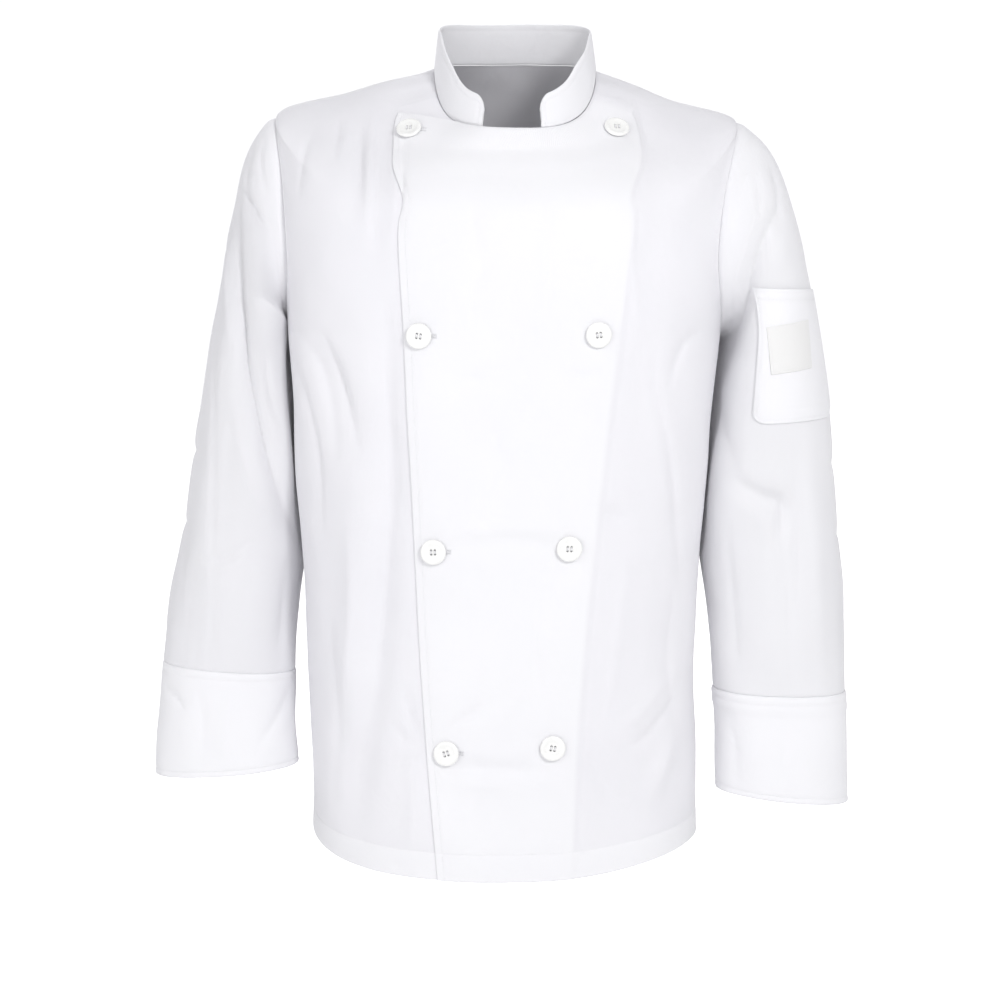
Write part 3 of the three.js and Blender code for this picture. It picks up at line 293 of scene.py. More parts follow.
class JacketSizes(bpy.types.PropertyGroup):
    cloth: FloatProperty(
        name="Cloth thickness", description="One layer of the cloth",
        default=0.0009, min=0.0003, max=0.0015, unit="LENGTH",
    )
    turned: FloatProperty(
        name="Turned edge thickness", description="Where the cloth is folded under along a free edge",
        default=0.0015, min=0.0006, max=0.0016, unit="LENGTH",
    )
    hem_depth: FloatProperty(
        name="Hem depth", description="From the lower edge to the hem's row of stitches",
        default=0.025, min=0.01, max=0.05, unit="LENGTH",
    )
    stitch: FloatProperty(
        name="Stitch length", description="Length of one stitch that shows",
        default=0.0025, min=0.0015, max=0.005, unit="LENGTH",
    )
    stitch_pitch: FloatProperty(
        name="Stitch pitch", description="From the start of one stitch to the next",
        default=0.0033, min=0.002, max=0.006, unit="LENGTH",
    )
    thread: FloatProperty(
        name="Thread thickness", description="Across one stitch",
        default=0.0005, min=0.0002, max=0.001, unit="LENGTH",
    )
    folds: FloatProperty(
        name="Fold strength", description="The large folds against their depth in the solids",
        default=1.0, min=0.0, max=1.5, subtype="FACTOR",
    )
    creases: FloatProperty(
        name="Crease strength", description="The small creases against their written depth",
        default=1.7, min=0.0, max=2.0, subtype="FACTOR",
    )
    unevenness: FloatProperty(
        name="Unevenness", description="How far the plain cloth wanders between its creases",
        default=0.0007, min=0.0, max=0.003, unit="LENGTH",
    )
    button: FloatProperty(
        name="Button radius", description="Half the width of a front button",
        default=0.0115, min=0.008, max=0.014, unit="LENGTH",
    )
    button_thickness: FloatProperty(
        name="Button thickness", description="From the button's back to its rim",
        default=0.0034, min=0.002, max=0.005, unit="LENGTH",
    )
    single_tone: FloatProperty(
        name="Single layer tone", description="How much of its white one layer of the cloth keeps",
        default=0.965, min=0.8, max=1.0, subtype="FACTOR",
    )
    twill: FloatProperty(
        name="Twill pitch", description="From one slanting rib of the weave to the next",
        default=0.0009, min=0.0004, max=0.002, unit="LENGTH",
    )


class JacketColours(bpy.types.PropertyGroup):
    cloth: FloatVectorProperty(
        name="Cloth", description="The bleached white of the poly-cotton",
        default=(0.875, 0.872, 0.892), min=0, max=1, subtype="COLOR",
    )
    # A darker, cooler white that the materials mix towards: painted shade in the furrows of the weave, and
    # the cloth's faint random tone.
    cloth_shade_and_tone: FloatVectorProperty(
        name="Cloth in painted shade and tone", description="The same cloth with painted shade in its furrows and its faint random tone",
        default=(0.80, 0.797, 0.83), min=0, max=1, subtype="COLOR",
    )
    thread: FloatVectorProperty(
        name="Thread", description="White polyester sewing thread",
        default=(0.84, 0.84, 0.86), min=0, max=1, subtype="COLOR",
    )
    button: FloatVectorProperty(
        name="Button", description="Pearly white resin",
        default=(0.9, 0.9, 0.885), min=0, max=1, subtype="COLOR",
    )
    label: FloatVectorProperty(
        name="Label", description="Woven satin of the sleeve label",
        default=(0.83, 0.825, 0.81), min=0, max=1, subtype="COLOR",
    )
    floor: FloatVectorProperty(
        name="Floor", description="The plain pale floor",
        default=(0.92, 0.92, 0.92), min=0, max=1, subtype="COLOR",
    )


def track(rows, place):
    """A smooth run through one column of a table, which never swings past the rows on either side."""
    at = np.array([row[0] for row in rows], float)
    value = np.array([row[place] for row in rows], float)
    step = np.diff(value) / np.diff(at)
    alike = step[:-1] * step[1:] > 0
    total = np.where(alike, step[:-1] + step[1:], 1.0)
    slope = np.concatenate([[step[0]], np.where(alike, 2 * step[:-1] * step[1:] / total, 0.0), [step[-1]]])

    def run(x):
        x = np.asarray(x, float)
        i = np.clip(np.searchsorted(at, x, side="right") - 1, 0, len(at) - 2)
        width = at[i + 1] - at[i]
        t = np.clip((x - at[i]) / width, 0, 1)
        rest = 1 - t
        ends = value[i] * rest * rest * (1 + 2 * t) + value[i + 1] * t * t * (3 - 2 * t)
        return ends + width * t * rest * (slope[i] * rest - slope[i + 1] * t)

    return run


def tracks(rows, columns):
    return SimpleNamespace(**{name: track(rows, i) for i, name in enumerate(columns) if i})


ring = tracks(RINGS, RING_COLUMNS)
edges = tracks(EDGES, EDGE_COLUMNS)


def lerp(a, b, t):
    return a + (b - a) * t


def smoothstep(x, low, high):
    t = np.clip((x - low) / (high - low), 0, 1)
    return t * t * (3 - 2 * t)


def halved(low, high, is_below, times=26):
    """The values between two limits up to which a test holds."""
    for _ in range(times):
        middle = (low + high) / 2
        below = is_below(middle)
        low = np.where(below, middle, low)
        high = np.where(below, high, middle)
    return low


def length_of(vectors):
    return np.sqrt((vectors * vectors).sum(-1))


def unit(vectors):
    return vectors / np.maximum(length_of(vectors), 1e-9)[..., None]


def normal_of(surface, a, b, da, db):
    along_a = surface(a + da, b) - surface(a - da, b)
    along_b = surface(a, b + db) - surface(a, b - db)
    return unit(np.cross(along_a, along_b))


@lru_cache(maxsize=None)
def smooth_line(points, steps=5):
    """The same line with its corners rounded, through all its points."""
    p = np.array(points, float)
    p = np.vstack([2 * p[0] - p[1], p, 2 * p[-1] - p[-2]])
    out = []
    for i in range(1, len(p) - 2):
        for t in np.arange(steps) / steps:
            out.append(0.5 * (
                2 * p[i] + (p[i + 1] - p[i - 1]) * t
                + (2 * p[i - 1] - 5 * p[i] + 4 * p[i + 1] - p[i + 2]) * t * t
                + (3 * p[i] - p[i - 1] - 3 * p[i + 1] + p[i + 2]) * t ** 3
            ))
    out.append(p[-2])
    return np.array(out)


def one_fold(x, z, depth, width, skew, line, crisp):
    """How far one fold lifts the points of a view: round or crisp in section, dying away at both ends."""
    path = smooth_line(tuple(line))
    starts = path[:-1]
    steps = np.diff(path, axis=0)
    lengths = np.hypot(steps[:, 0], steps[:, 1])
    run = np.concatenate([[0], np.cumsum(lengths)])
    reach = 3 * width * max(skew, 1.0)
    near = (x > path[:, 0].min() - reach) & (x < path[:, 0].max() + reach)
    near &= (z > path[:, 1].min() - reach) & (z < path[:, 1].max() + reach)
    height = np.zeros(x.shape)
    if not near.any():
        return height
    px, pz = x[near], z[near]
    best = np.full(px.shape, 1e9)
    along = np.zeros(px.shape)
    side = np.ones(px.shape)
    for (x0, z0), (dx, dz), size, before in zip(starts, steps, lengths, run):
        t = np.clip(((px - x0) * dx + (pz - z0) * dz) / (size * size), 0, 1)
        away = np.hypot(px - x0 - t * dx, pz - z0 - t * dz)
        closer = away < best
        best = np.where(closer, away, best)
        along = np.where(closer, (before + t * size) / run[-1], along)
        side = np.where(closer, np.sign(dx * (pz - z0) - dz * (px - x0)), side)
    wide = width * np.where(side > 0, skew, 1.0)
    away = best / wide
    section = np.exp(0.2 - np.sqrt(2.4 * away * away + 0.04)) if crisp else np.exp(-away * away)
    height[near] = depth * section * np.sin(np.pi * (0.08 + 0.84 * along))
    return height


def fold_height(part, face, x, z):
    """How a part stands out at the points of one view, from all its folds and creases there."""
    sizes = bpy.context.scene.jacket_sizes
    height = np.zeros(np.shape(x))
    for rows, strength, crisp in ((FOLDS, sizes.folds, False), (CREASES, sizes.creases, True)):
        for where, side, depth, width, skew, line in rows:
            if where == part and side == face:
                height += strength * one_fold(x, z, depth, width, skew, line, crisp)
    return height


def unevenness(points):
    """A slow wandering of the plain cloth, the same wherever two pieces share a place."""
    x, y, z = points[..., 0], points[..., 1], points[..., 2]
    waves = [
        (0.021, 0.034, 0.017, 0.4, 0.8), (-0.043, 0.022, 0.024, 1.9, 0.6), (0.062, -0.031, 0.038, 3.1, 0.45),
        (0.014, 0.052, -0.049, 0.9, 0.45), (-0.085, 0.058, 0.033, 5.2, 0.3), (0.052, 0.094, 0.071, 2.4, 0.25),
        (0.118, -0.066, 0.052, 4.4, 0.16), (-0.074, 0.12, -0.108, 0.2, 0.14),
    ]
    total = sum(size * np.sin(a * x + b * y + c * z + start) for a, b, c, start, size in waves)
    return total * bpy.context.scene.jacket_sizes.unevenness / MM


def ringed_body(angle, at):
    """The body's form from its rings. The angle goes round from the front towards the wearer's left."""
    to_left, to_front = np.sin(angle), np.cos(angle)
    front = to_front >= 0
    left = to_left >= 0
    box = np.where(front, ring.box_front(at), ring.box_back(at))
    reach = (np.abs(to_left) ** box + np.abs(to_front) ** box) ** (-1 / box)
    middle = ring.middle(at)
    side = np.where(left, ring.left(at), ring.right(at))
    z_side = np.where(left, ring.z_left(at), ring.z_right(at))
    pressed = ring.press(at) * np.exp(-(((np.abs(angle) - PRESS_ANGLE) / PRESS_SPREAD) ** 2))
    depth = np.where(front, -ring.front(at), ring.back(at))
    level = reach * np.abs(to_front)
    rise = np.where(left, ring.rise_left(at), ring.rise_right(at))
    lift = 1 - (1 - np.minimum(level, 1) ** rise) ** ring.round(at)
    z_end = np.where(front, ring.z_front(at), ring.z_back(at))
    x = middle + (side - middle) * reach * np.abs(to_left) - np.sign(to_left) * pressed
    return np.stack([x, depth * level, z_side + (z_end - z_side) * lift], -1)


def plain_body(angle, at):
    """The same form with the joins of the rings eased across the front and back."""
    angle, at = np.broadcast_arrays(np.asarray(angle, float), np.asarray(at, float))
    room = np.minimum(at, 1 - at)
    facing = smoothstep(np.abs(np.cos(angle)), 0.08, 0.5)
    total = 0.24 * ringed_body(angle, at)
    for step, share in ((0.03, 0.2), (0.065, 0.12), (0.1, 0.06)):
        away = step * facing * room / (room + step)
        total = total + share * (ringed_body(angle, at + away) + ringed_body(angle, at - away))
    return total


def body_normal(angle, at):
    return normal_of(plain_body, angle, np.clip(at, 0.004, 0.996), 0.01, 0.004)


def body_lift(angle, at, plain):
    """How far folds, creases and unevenness move the body's cloth out."""
    fade = np.minimum(1, np.abs(np.abs(angle) - QUARTER) / 0.2)
    front = fold_height("body", "front", plain[..., 0], plain[..., 2])
    back = fold_height("body", "back", plain[..., 0], plain[..., 2])
    return np.where(np.abs(angle) <= QUARTER, front, back) * fade + unevenness(plain)


def body_base(angle, at):
    """The points of the folded body, and the way out from each."""
    angle, at = np.broadcast_arrays(np.asarray(angle, float), np.asarray(at, float))
    plain = plain_body(angle, at)
    normal = body_normal(angle, at)
    return plain + normal * body_lift(angle, at, plain)[..., None], normal


def moved(base, normal, out):
    return base + normal * np.broadcast_to(out, base.shape[:-1])[..., None]


def body_point(angle, at, out):
    return moved(*body_base(angle, at), out)


def angle_of_x(x, at):
    middle = ring.middle(at)
    side = np.where(x >= middle, ring.left(at), ring.right(at))
    box = ring.box_front(at)
    share = np.clip((x - middle) / (side - middle), 0, 0.999)
    return np.sign(x - middle) * np.arctan2(share, (1 - share ** box) ** (1 / box))


def angle_of_y(y, at):
    front = y <= 0
    box = np.where(front, ring.box_front(at), ring.box_back(at))
    share = np.minimum(np.abs(y) / np.where(front, ring.front(at), ring.back(at)), 1)
    angle = np.arctan2((1 - share ** box) ** (1 / box), share)
    return np.where(front, angle, np.pi - angle)


def limited(angle):
    """Eases an angle towards the furthest that a front's edge goes round the neck."""
    room = EDGE_ANGLE_LIMIT - 0.85
    return np.where(angle > 0.85, 0.85 + room * np.tanh((angle - 0.85) / room), angle)


def top_edge_angle(at):
    return -limited(-angle_of_x(edges.top(at), at))


def under_edge_angle(at):
    return limited(angle_of_x(edges.under(at), at))


def overlap_angle(column, at):
    return lerp(top_edge_angle(at), under_edge_angle(at), (column + 1) / 2)


def top_of_column(column, side):
    """Where a column of the overlap meets the straight free top edge of a front, as a ring's place."""
    def below(at):
        point = plain_body(overlap_angle(column, at), at)
        past = (side * point[..., 0] - CORNER_FROM) / (CORNER_TO - CORNER_FROM)
        return (past <= 0) | (point[..., 2] < lerp(CORNER_LOW, CORNER_HIGH, np.minimum(past, 1)))

    return halved(np.full(np.shape(column), 0.9), np.full(np.shape(column), 1.0), below)


def armhole_at(turn):
    return (TIP_AT + ARMPIT_AT) / 2 + ((TIP_AT - ARMPIT_AT) / 2) * np.cos(turn)


def armhole_angle(turn, side):
    across = np.sin(turn)
    reach = ARMHOLE_FRONT_LEFT if side == 1 else ARMHOLE_FRONT_RIGHT
    y = np.where(across > 0, -reach, ARMHOLE_BACK) * np.abs(across) ** 0.8
    return side * np.where(np.abs(across) < 1e-6, QUARTER, angle_of_y(y, armhole_at(turn)))


def armhole_point(turn, side, out=0.0):
    return body_point(armhole_angle(turn, side), armhole_at(turn), out)


def into_armhole(turn, side):
    """From the panels' edge straight into the open armhole."""
    edge = armhole_point(turn + 0.05, side) - armhole_point(turn - 0.05, side)
    normal = body_normal(armhole_angle(turn, side), armhole_at(turn))
    return unit(np.cross(normal, edge)) * side


# Rows that lie close together beside a seam or an edge, in millimetres from it
SEAM_STEPS = np.array([0, 0.8, 1.8, 3.2, 5.2, 8.0])
TOPSTITCH = 6.0
EDGE_STEPS = np.array([0, 0.8, 2.0, 3.6, 5.0, TOPSTITCH, 7.0, 8.4, 11.0, 15.0])
SEAM_DIP = 1.3
SEAM_WIDE = 2.6
RING_LENGTH = 733  # millimetres of the front for a whole step of a ring's place, near the hem
NECK_LENGTH = 1100  # the same near the neck seam


def groove(distance, depth, width):
    return -depth * np.exp(-((distance / width) ** 2))


def body_rows():
    """The rings' places down a body panel: in its middle, at its outer edge, and round the armhole."""
    hem = bpy.context.scene.jacket_sizes.hem_depth / MM
    low = np.array([0, 0.8, 2.0, 5.0, 10, 17, hem - 2.5, hem - 1, hem, hem + 1, hem + 2.5, 34]) / RING_LENGTH
    side = np.concatenate([low, np.linspace(low[-1], ARMPIT_AT, 112)[1:-1]])
    turn = np.linspace(np.pi, 0, 51)[:-1]
    arm = np.linspace(ARMPIT_AT, TIP_AT, 51)[:-1]
    top = 1 - SEAM_STEPS[::-1] / NECK_LENGTH
    high = np.concatenate([np.linspace(TIP_AT, top[0], 40)[:-1], top])
    at = np.concatenate([side, arm, high])
    edge = np.concatenate([side, armhole_at(turn), high])
    turns = np.concatenate([np.full(len(side), np.pi), turn, np.zeros(len(high))])
    return at, edge, turns


def hem_groove(at):
    hem = bpy.context.scene.jacket_sizes.hem_depth / MM
    down = at * RING_LENGTH
    stitched = groove(down - hem, 0.55, 1.3)
    return stitched + 0.35 * smoothstep(down, hem + 3, hem - 1)


def turned(distance, depth):
    """The wall's thickness: turned under beside a free edge, and one layer further in."""
    sizes = bpy.context.scene.jacket_sizes
    share = smoothstep(distance, depth + 2.5, depth)
    return lerp(sizes.cloth, sizes.turned, share) / MM


def lap_rise(angle, at, from_edge):
    """The top front's rise over the under one, with a step where the under front ends below it."""
    past = plain_body(angle, at)[..., 0] - plain_body(under_edge_angle(at), at)[..., 0]
    soft = 1 - smoothstep(past, 0.05 * LAP_EASE, LAP_EASE)
    sharp = 1 - smoothstep(past, 0.5, 6.0)
    settled = 0.8 * np.exp(-((from_edge / 9) ** 2))
    return 1.2 * soft + 1.4 * sharp - settled


def front_grid(side):
    """Places of a front panel's cloth, in columns from the wearer's right to the left."""
    at, edge, turns = body_rows()
    rows = len(at)
    over = np.linspace(0, 1, 64)[1:]
    beyond = np.concatenate([
        [0.012, 0.024, 0.036, 0.05, 0.07], np.linspace(0.07, 1 - SEAM_STEPS[-1] / 130, 58)[1:],
        1 - SEAM_STEPS[-2::-1] / 130,
    ])
    bend = 0.88
    places = []
    width = edges.under(at) - edges.top(at)
    shares = [value / width for value in EDGE_STEPS]
    shares += [lerp(EDGE_STEPS[-1] / width, 1.0, value) for value in over]
    last = np.array([side * (2 * share[-1] - 1) for share in shares])
    tops = np.where(last * side < 0, top_of_column(last, -side), 1.0)
    for share, top in zip(shares, tops):
        column = side * (2 * share - 1)
        place = np.where(at <= bend, at, bend + (at - bend) * (top - bend) / (1 - bend))
        places.append((overlap_angle(column, place), place, share * width, np.full(rows, 1e3)))
    end = armhole_angle(turns, side)
    for share in beyond:
        place = lerp(at, edge, share * share)
        start = under_edge_angle(place) if side == 1 else top_edge_angle(place)
        away = (1 - share) * 130
        places.append((lerp(start, end, share), place, np.full(rows, 1e3), np.full(rows, away)))
    angle, place, from_edge, from_seam = (np.stack(values, 1) for values in zip(*places))
    return SimpleNamespace(angle=angle, at=place, from_edge=from_edge, from_seam=from_seam, rows=at)


def seams_and_hem(grid, hem):
    """Where a panel is two layers thick: its hem, its turned front edge and its seam allowances."""
    low = smoothstep(grid.at * RING_LENGTH, hem + 1.5, hem - 1)
    edge = smoothstep(grid.from_edge, 12.5, 10)
    return np.maximum(np.maximum(low, edge), smoothstep(grid.from_seam, 9, 7))


def clothed(grid, rise, thickness):
    """The outer and inner faces of a panel."""
    dip = groove(grid.from_seam, SEAM_DIP, SEAM_WIDE) + hem_groove(grid.at)
    dip = dip + groove((1 - grid.at) * NECK_LENGTH, 0.8, SEAM_WIDE)
    dip = dip + groove(grid.from_edge - TOPSTITCH, 0.2, 1.2)
    base, normal = body_base(grid.angle, grid.at)
    return moved(base, normal, rise + dip), moved(base, normal, rise + dip * 0.3 - thickness)


def rim_of(outer, inner, wrapped):
    """The points round the open edges of a wall, half way through it and pushed out, as closed loops."""
    rows, columns = outer.shape[:2]
    middle = (outer + inner) / 2
    half = length_of(outer - inner) / 2
    if wrapped:
        loops = [[(0, i) for i in range(columns)], [(rows - 1, i) for i in range(columns)]]
    else:
        loops = [
            [(0, i) for i in range(columns)]
            + [(j, columns - 1) for j in range(1, rows)]
            + [(rows - 1, i) for i in range(columns - 2, -1, -1)]
            + [(j, 0) for j in range(rows - 2, 0, -1)]
        ]
    out = []
    for loop in loops:
        points = []
        for j, i in loop:
            away = np.zeros(3)
            if j in (0, rows - 1):
                away += unit(middle[j, i] - middle[1 if j == 0 else rows - 2, i])
            if not wrapped and i in (0, columns - 1):
                away += unit(middle[j, i] - middle[j, 1 if i == 0 else columns - 2])
            points.append(middle[j, i] + unit(away) * half[j, i] * 0.8)
        out.append((loop, np.array(points)))
    return out


def arc_lengths(points, wrapped):
    """Flat places on the cloth, in metres: along each row from its middle, and up each column."""
    closed = np.concatenate([points, points[:, :1]], 1) if wrapped else points
    across = np.cumsum(length_of(np.diff(closed, axis=1)), 1)
    across = np.concatenate([np.zeros((len(points), 1)), across], 1)
    across -= across[:, across.shape[1] // 2][:, None]
    up = np.cumsum(length_of(np.diff(closed, axis=0)), 0)
    up = np.concatenate([np.zeros((1, closed.shape[1])), up], 0)
    return np.stack([across, up], -1) * MM


def wall(name, outer, inner, white_share, wrapped=False):
    """A closed thin wall from its two faces, with rounded edges, flat cloth places as UVs, and its white
    share: from doubled cloth, and on the sleeves painted light and shade.
    """
    rows, columns = outer.shape[:2]
    white_share = np.broadcast_to(np.asarray(white_share, float), (rows, columns))
    layers = [white_share.ravel(), white_share.ravel()]
    flat = arc_lengths(outer, wrapped)
    index = np.arange(rows * columns).reshape(rows, columns)
    corners, places = [], []
    last = columns if wrapped else columns - 1
    j, i = np.meshgrid(np.arange(rows - 1), np.arange(last), indexing="ij")
    ahead = (i + 1) % columns
    quad = np.stack([index[j, i], index[j, ahead], index[j + 1, ahead], index[j + 1, i]], -1).reshape(-1, 4)
    uv = np.stack([flat[j, i], flat[j, i + 1], flat[j + 1, i + 1], flat[j + 1, i]], -2).reshape(-1, 4, 2)
    corners += [quad, quad[:, ::-1] + rows * columns]
    places += [uv, uv[:, ::-1]]
    points = [outer.reshape(-1, 3), inner.reshape(-1, 3)]
    count = 2 * rows * columns
    for n, (loop, rim) in enumerate(rim_of(outer, inner, wrapped)):
        a = np.array([index[j, i] for j, i in loop])
        b = a + rows * columns
        m = count + np.arange(len(loop))
        flat_loop = np.array([flat[j, i] for j, i in loop])
        a2, b2, m2, f2 = (np.roll(v, -1, axis=0) for v in (a, b, m, flat_loop))
        f2[-1] = f2[-1] if not wrapped else flat[loop[-1][0], columns]
        first = np.stack([a2, a, m, m2], -1)
        second = np.stack([m2, m, b, b2], -1)
        around = np.stack([f2, flat_loop, flat_loop, f2], -2)
        if wrapped and n == 1:
            first, second, around = first[:, ::-1], second[:, ::-1], around[:, ::-1]
        corners += [first, second]
        places += [around, around]
        points.append(rim)
        layers.append(np.array([white_share[j, i] for j, i in loop]))
        count += len(loop)
    piece = mesh_object(name, np.concatenate(points), np.concatenate(corners), np.concatenate(places))
    # The white share per point: doubled cloth, and on the sleeves painted light and shade.
    layer = piece.data.attributes.new("cloth layers and painted light", "FLOAT", "POINT")
    layer.data.foreach_set("value", np.ascontiguousarray(np.concatenate(layers), np.float32))
    return piece


def mesh_object(name, points, faces, uv=None):
    """A smooth mesh from points in millimetres, with its faces turned outwards."""
    a, b, c = (points[faces[:, k]] for k in range(3))
    volume = np.einsum("ij,ij->i", a, np.cross(b, c)).sum()
    if faces.shape[1] == 4:
        volume += np.einsum("ij,ij->i", a, np.cross(c, points[faces[:, 3]])).sum()
    if volume < 0:
        faces = faces[:, ::-1]
        uv = None if uv is None else uv[:, ::-1]
    mesh = bpy.data.meshes.new(name)
    mesh.from_pydata((points * MM).tolist(), [], faces.tolist())
    if uv is not None:
        layer = mesh.uv_layers.new(name="flat cloth")
        layer.data.foreach_set("uv", np.ascontiguousarray(uv, np.float32).ravel())
    mesh.polygons.foreach_set("use_smooth", np.ones(len(mesh.polygons), bool))
    mesh.set_sharp_from_angle(angle=math.radians(62))
    piece = bpy.data.objects.new(name, mesh)
    bpy.context.scene.collection.objects.link(piece)
    return piece


def row_line(outer, values, level):
    """A line across a grid's rows, where each column reaches a level."""
    points = []
    for i in range(outer.shape[1]):
        points.append([np.interp(level, values[:, i], outer[:, i, k]) for k in range(3)])
    return np.array(points)


def column_line(outer, values, level):
    """A line along a grid's columns, where each row reaches a level."""
    points = []
    for j in range(outer.shape[0]):
        points.append([np.interp(level, values[j], outer[j, :, k]) for k in range(3)])
    return np.array(points)


def grid_normals(outer, wrapped=False):
    if wrapped:
        padded = np.concatenate([outer[:, -1:], outer, outer[:, :1]], 1)
        across = np.gradient(padded, axis=1)[:, 1:-1]
    else:
        across = np.gradient(outer, axis=1)
    return unit(np.cross(across, np.gradient(outer, axis=0)))


def stitched(points, normals, closed=False):
    """Centres, directions and normals of stitches set along a line."""
    sizes = bpy.context.scene.jacket_sizes
    if closed:
        points = np.vstack([points, points[:1]])
        normals = np.vstack([normals, normals[:1]])
    steps = length_of(np.diff(points, axis=0))
    run = np.concatenate([[0], np.cumsum(steps)])
    pitch = sizes.stitch_pitch / MM
    centres = np.arange(pitch * 0.6, run[-1] - pitch * 0.4, pitch)
    half = sizes.stitch / MM / 2

    def place(at, source):
        return np.stack([np.interp(at, run, source[:, k]) for k in range(3)], -1)

    along = unit(place(centres + half, points) - place(centres - half, points))
    return place(centres, points), along, unit(place(centres, normals))


def stitch_piece(name, lines, length=None, width=None):
    """One piece with all the stitches of some lines: each a small barrel of thread, sunk at both ends."""
    sizes = bpy.context.scene.jacket_sizes
    half = (length or sizes.stitch / MM) / 2
    wide = (width or sizes.thread / MM) / 2
    sections = [(-1.0, 0.25, -0.7), (-0.7, 0.85, 0.1), (0.0, 1.0, 0.55), (0.7, 0.85, 0.1), (1.0, 0.25, -0.7)]
    sides = 6
    shape = []
    for along, thick, up in sections:
        for k in range(sides):
            turn = 2 * math.pi * k / sides
            shape.append((along * half, math.cos(turn) * wide * thick, (math.sin(turn) * thick + up) * wide))
    shape = np.array(shape)
    faces = []
    for s in range(len(sections) - 1):
        for k in range(sides):
            a, b = s * sides + k, s * sides + (k + 1) % sides
            faces.append((a, b, b + sides, a + sides))
    end = (len(sections) - 1) * sides
    faces += [(0, 5, 4, 3), (0, 3, 2, 1), (end, end + 1, end + 2, end + 3), (end, end + 3, end + 4, end + 5)]
    faces = np.array(faces)
    points, corners = [], []
    count = 0
    for centre, along, normal in lines:
        across = unit(np.cross(normal, along))
        normal = unit(np.cross(along, across))
        basis = np.stack([along, across, normal], 1)
        spots = centre[:, None, :] + np.einsum("vk,nkc->nvc", shape, basis)
        points.append(spots.reshape(-1, 3))
        offsets = count + np.arange(len(centre)) * len(shape)
        corners.append((faces[None] + offsets[:, None, None]).reshape(-1, 4))
        count += len(centre) * len(shape)
    return mesh_object(name, np.concatenate(points), np.concatenate(corners))


def dress(piece, material, slot, *nodes):
    """Gives a piece its material, lets it ride, and has it stand for its nodes."""
    piece.data.materials.clear()
    piece.data.materials.append(material)
    if nodes:
        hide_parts(*nodes)
    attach(piece, "root")
    return piece


# Materials

def add_node(tree, kind, inputs=None, **settings):
    node = tree.nodes.new(kind)
    for name, value in settings.items():
        setattr(node, name, value)
    for name, value in (inputs or {}).items():
        socket = node.inputs[name]
        if isinstance(value, bpy.types.NodeSocket):
            tree.links.new(value, socket)
        else:
            socket.default_value = value
    return node


def maths(tree, operation, a, b=0.0):
    return add_node(tree, "ShaderNodeMath", {0: a, 1: b}, operation=operation).outputs[0]


def group_frame(name, inputs, outputs):
    """A new node group with its named sockets, and its two end nodes."""
    tree = bpy.data.node_groups.new(name, "ShaderNodeTree")
    for label, kind, default in inputs:
        socket = tree.interface.new_socket(name=label, in_out="INPUT", socket_type=kind)
        if default is not None:
            socket.default_value = default
    for label, kind in outputs:
        tree.interface.new_socket(name=label, in_out="OUTPUT", socket_type=kind)
    return tree, tree.nodes.new("NodeGroupInput"), tree.nodes.new("NodeGroupOutput")


def twill_group():
    """The slanting ribs of a twill, with the small unevenness of spun yarn."""
    known = bpy.data.node_groups.get("Twill weave")
    if known:
        return known
    tree, start, end = group_frame(
        "Twill weave",
        [("Place", "NodeSocketVector", None), ("Ribs per metre", "NodeSocketFloat", 1100.0),
         ("Slubs", "NodeSocketFloat", 0.25)],
        [("Height", "NodeSocketFloat"), ("Furrow", "NodeSocketFloat")],
    )
    turned_place = add_node(tree, "ShaderNodeVectorRotate", {
        "Vector": start.outputs["Place"], "Angle": math.radians(52),
    }, rotation_type="Z_AXIS")
    split = add_node(tree, "ShaderNodeSeparateXYZ", {0: turned_place.outputs[0]})
    yarn = add_node(tree, "ShaderNodeTexNoise", {
        "Vector": start.outputs["Place"], "Scale": 420.0, "Detail": 3.0,
    })
    wander = maths(tree, "MULTIPLY", maths(tree, "SUBTRACT", yarn.outputs["Fac"], 0.5), 5.0)
    ribs = maths(tree, "MULTIPLY", split.outputs["X"], start.outputs["Ribs per metre"])
    turn = maths(tree, "ADD", maths(tree, "MULTIPLY", ribs, 2 * math.pi), wander)
    wave = maths(tree, "MULTIPLY", maths(tree, "SINE", turn), 0.5)
    wave = maths(tree, "ADD", wave, 0.5)
    lumps = maths(tree, "MULTIPLY", yarn.outputs["Fac"], start.outputs["Slubs"])
    height = maths(tree, "ADD", wave, lumps)
    furrow = maths(tree, "SUBTRACT", 1.0, wave)
    tree.links.new(height, end.inputs["Height"])
    tree.links.new(furrow, end.inputs["Furrow"])
    return tree


def pucker_group():
    """Small soft puckers and the faint tone that pressed and handled cloth takes on."""
    known = bpy.data.node_groups.get("Cloth puckers")
    if known:
        return known
    tree, start, end = group_frame(
        "Cloth puckers",
        [("Place", "NodeSocketVector", None), ("Puckers per metre", "NodeSocketFloat", 26.0),
         ("Fine creases", "NodeSocketFloat", 0.4)],
        [("Height", "NodeSocketFloat"), ("Tone", "NodeSocketFloat")],
    )
    broad = add_node(tree, "ShaderNodeTexNoise", {
        "Vector": start.outputs["Place"], "Scale": start.outputs["Puckers per metre"],
        "Detail": 3.0, "Roughness": 0.55, "Distortion": 0.6,
    })
    fine_scale = maths(tree, "MULTIPLY", start.outputs["Puckers per metre"], 3.1)
    fine = add_node(tree, "ShaderNodeTexNoise", {
        "Vector": start.outputs["Place"], "Scale": fine_scale, "Detail": 4.0, "Distortion": 1.2,
    })
    ridge = maths(tree, "ABSOLUTE", maths(tree, "SUBTRACT", fine.outputs["Fac"], 0.5))
    sharp = maths(tree, "MULTIPLY", ridge, start.outputs["Fine creases"])
    height = maths(tree, "SUBTRACT", broad.outputs["Fac"], sharp)
    tree.links.new(height, end.inputs["Height"])
    slow = add_node(tree, "ShaderNodeTexNoise", {
        "Vector": start.outputs["Place"], "Scale": 7.0, "Detail": 2.0,
    })
    tone = add_node(tree, "ShaderNodeMapRange", {
        "Value": slow.outputs["Fac"], "From Min": 0.35, "From Max": 0.7,
    })
    tree.links.new(tone.outputs[0], end.inputs["Tone"])
    return tree


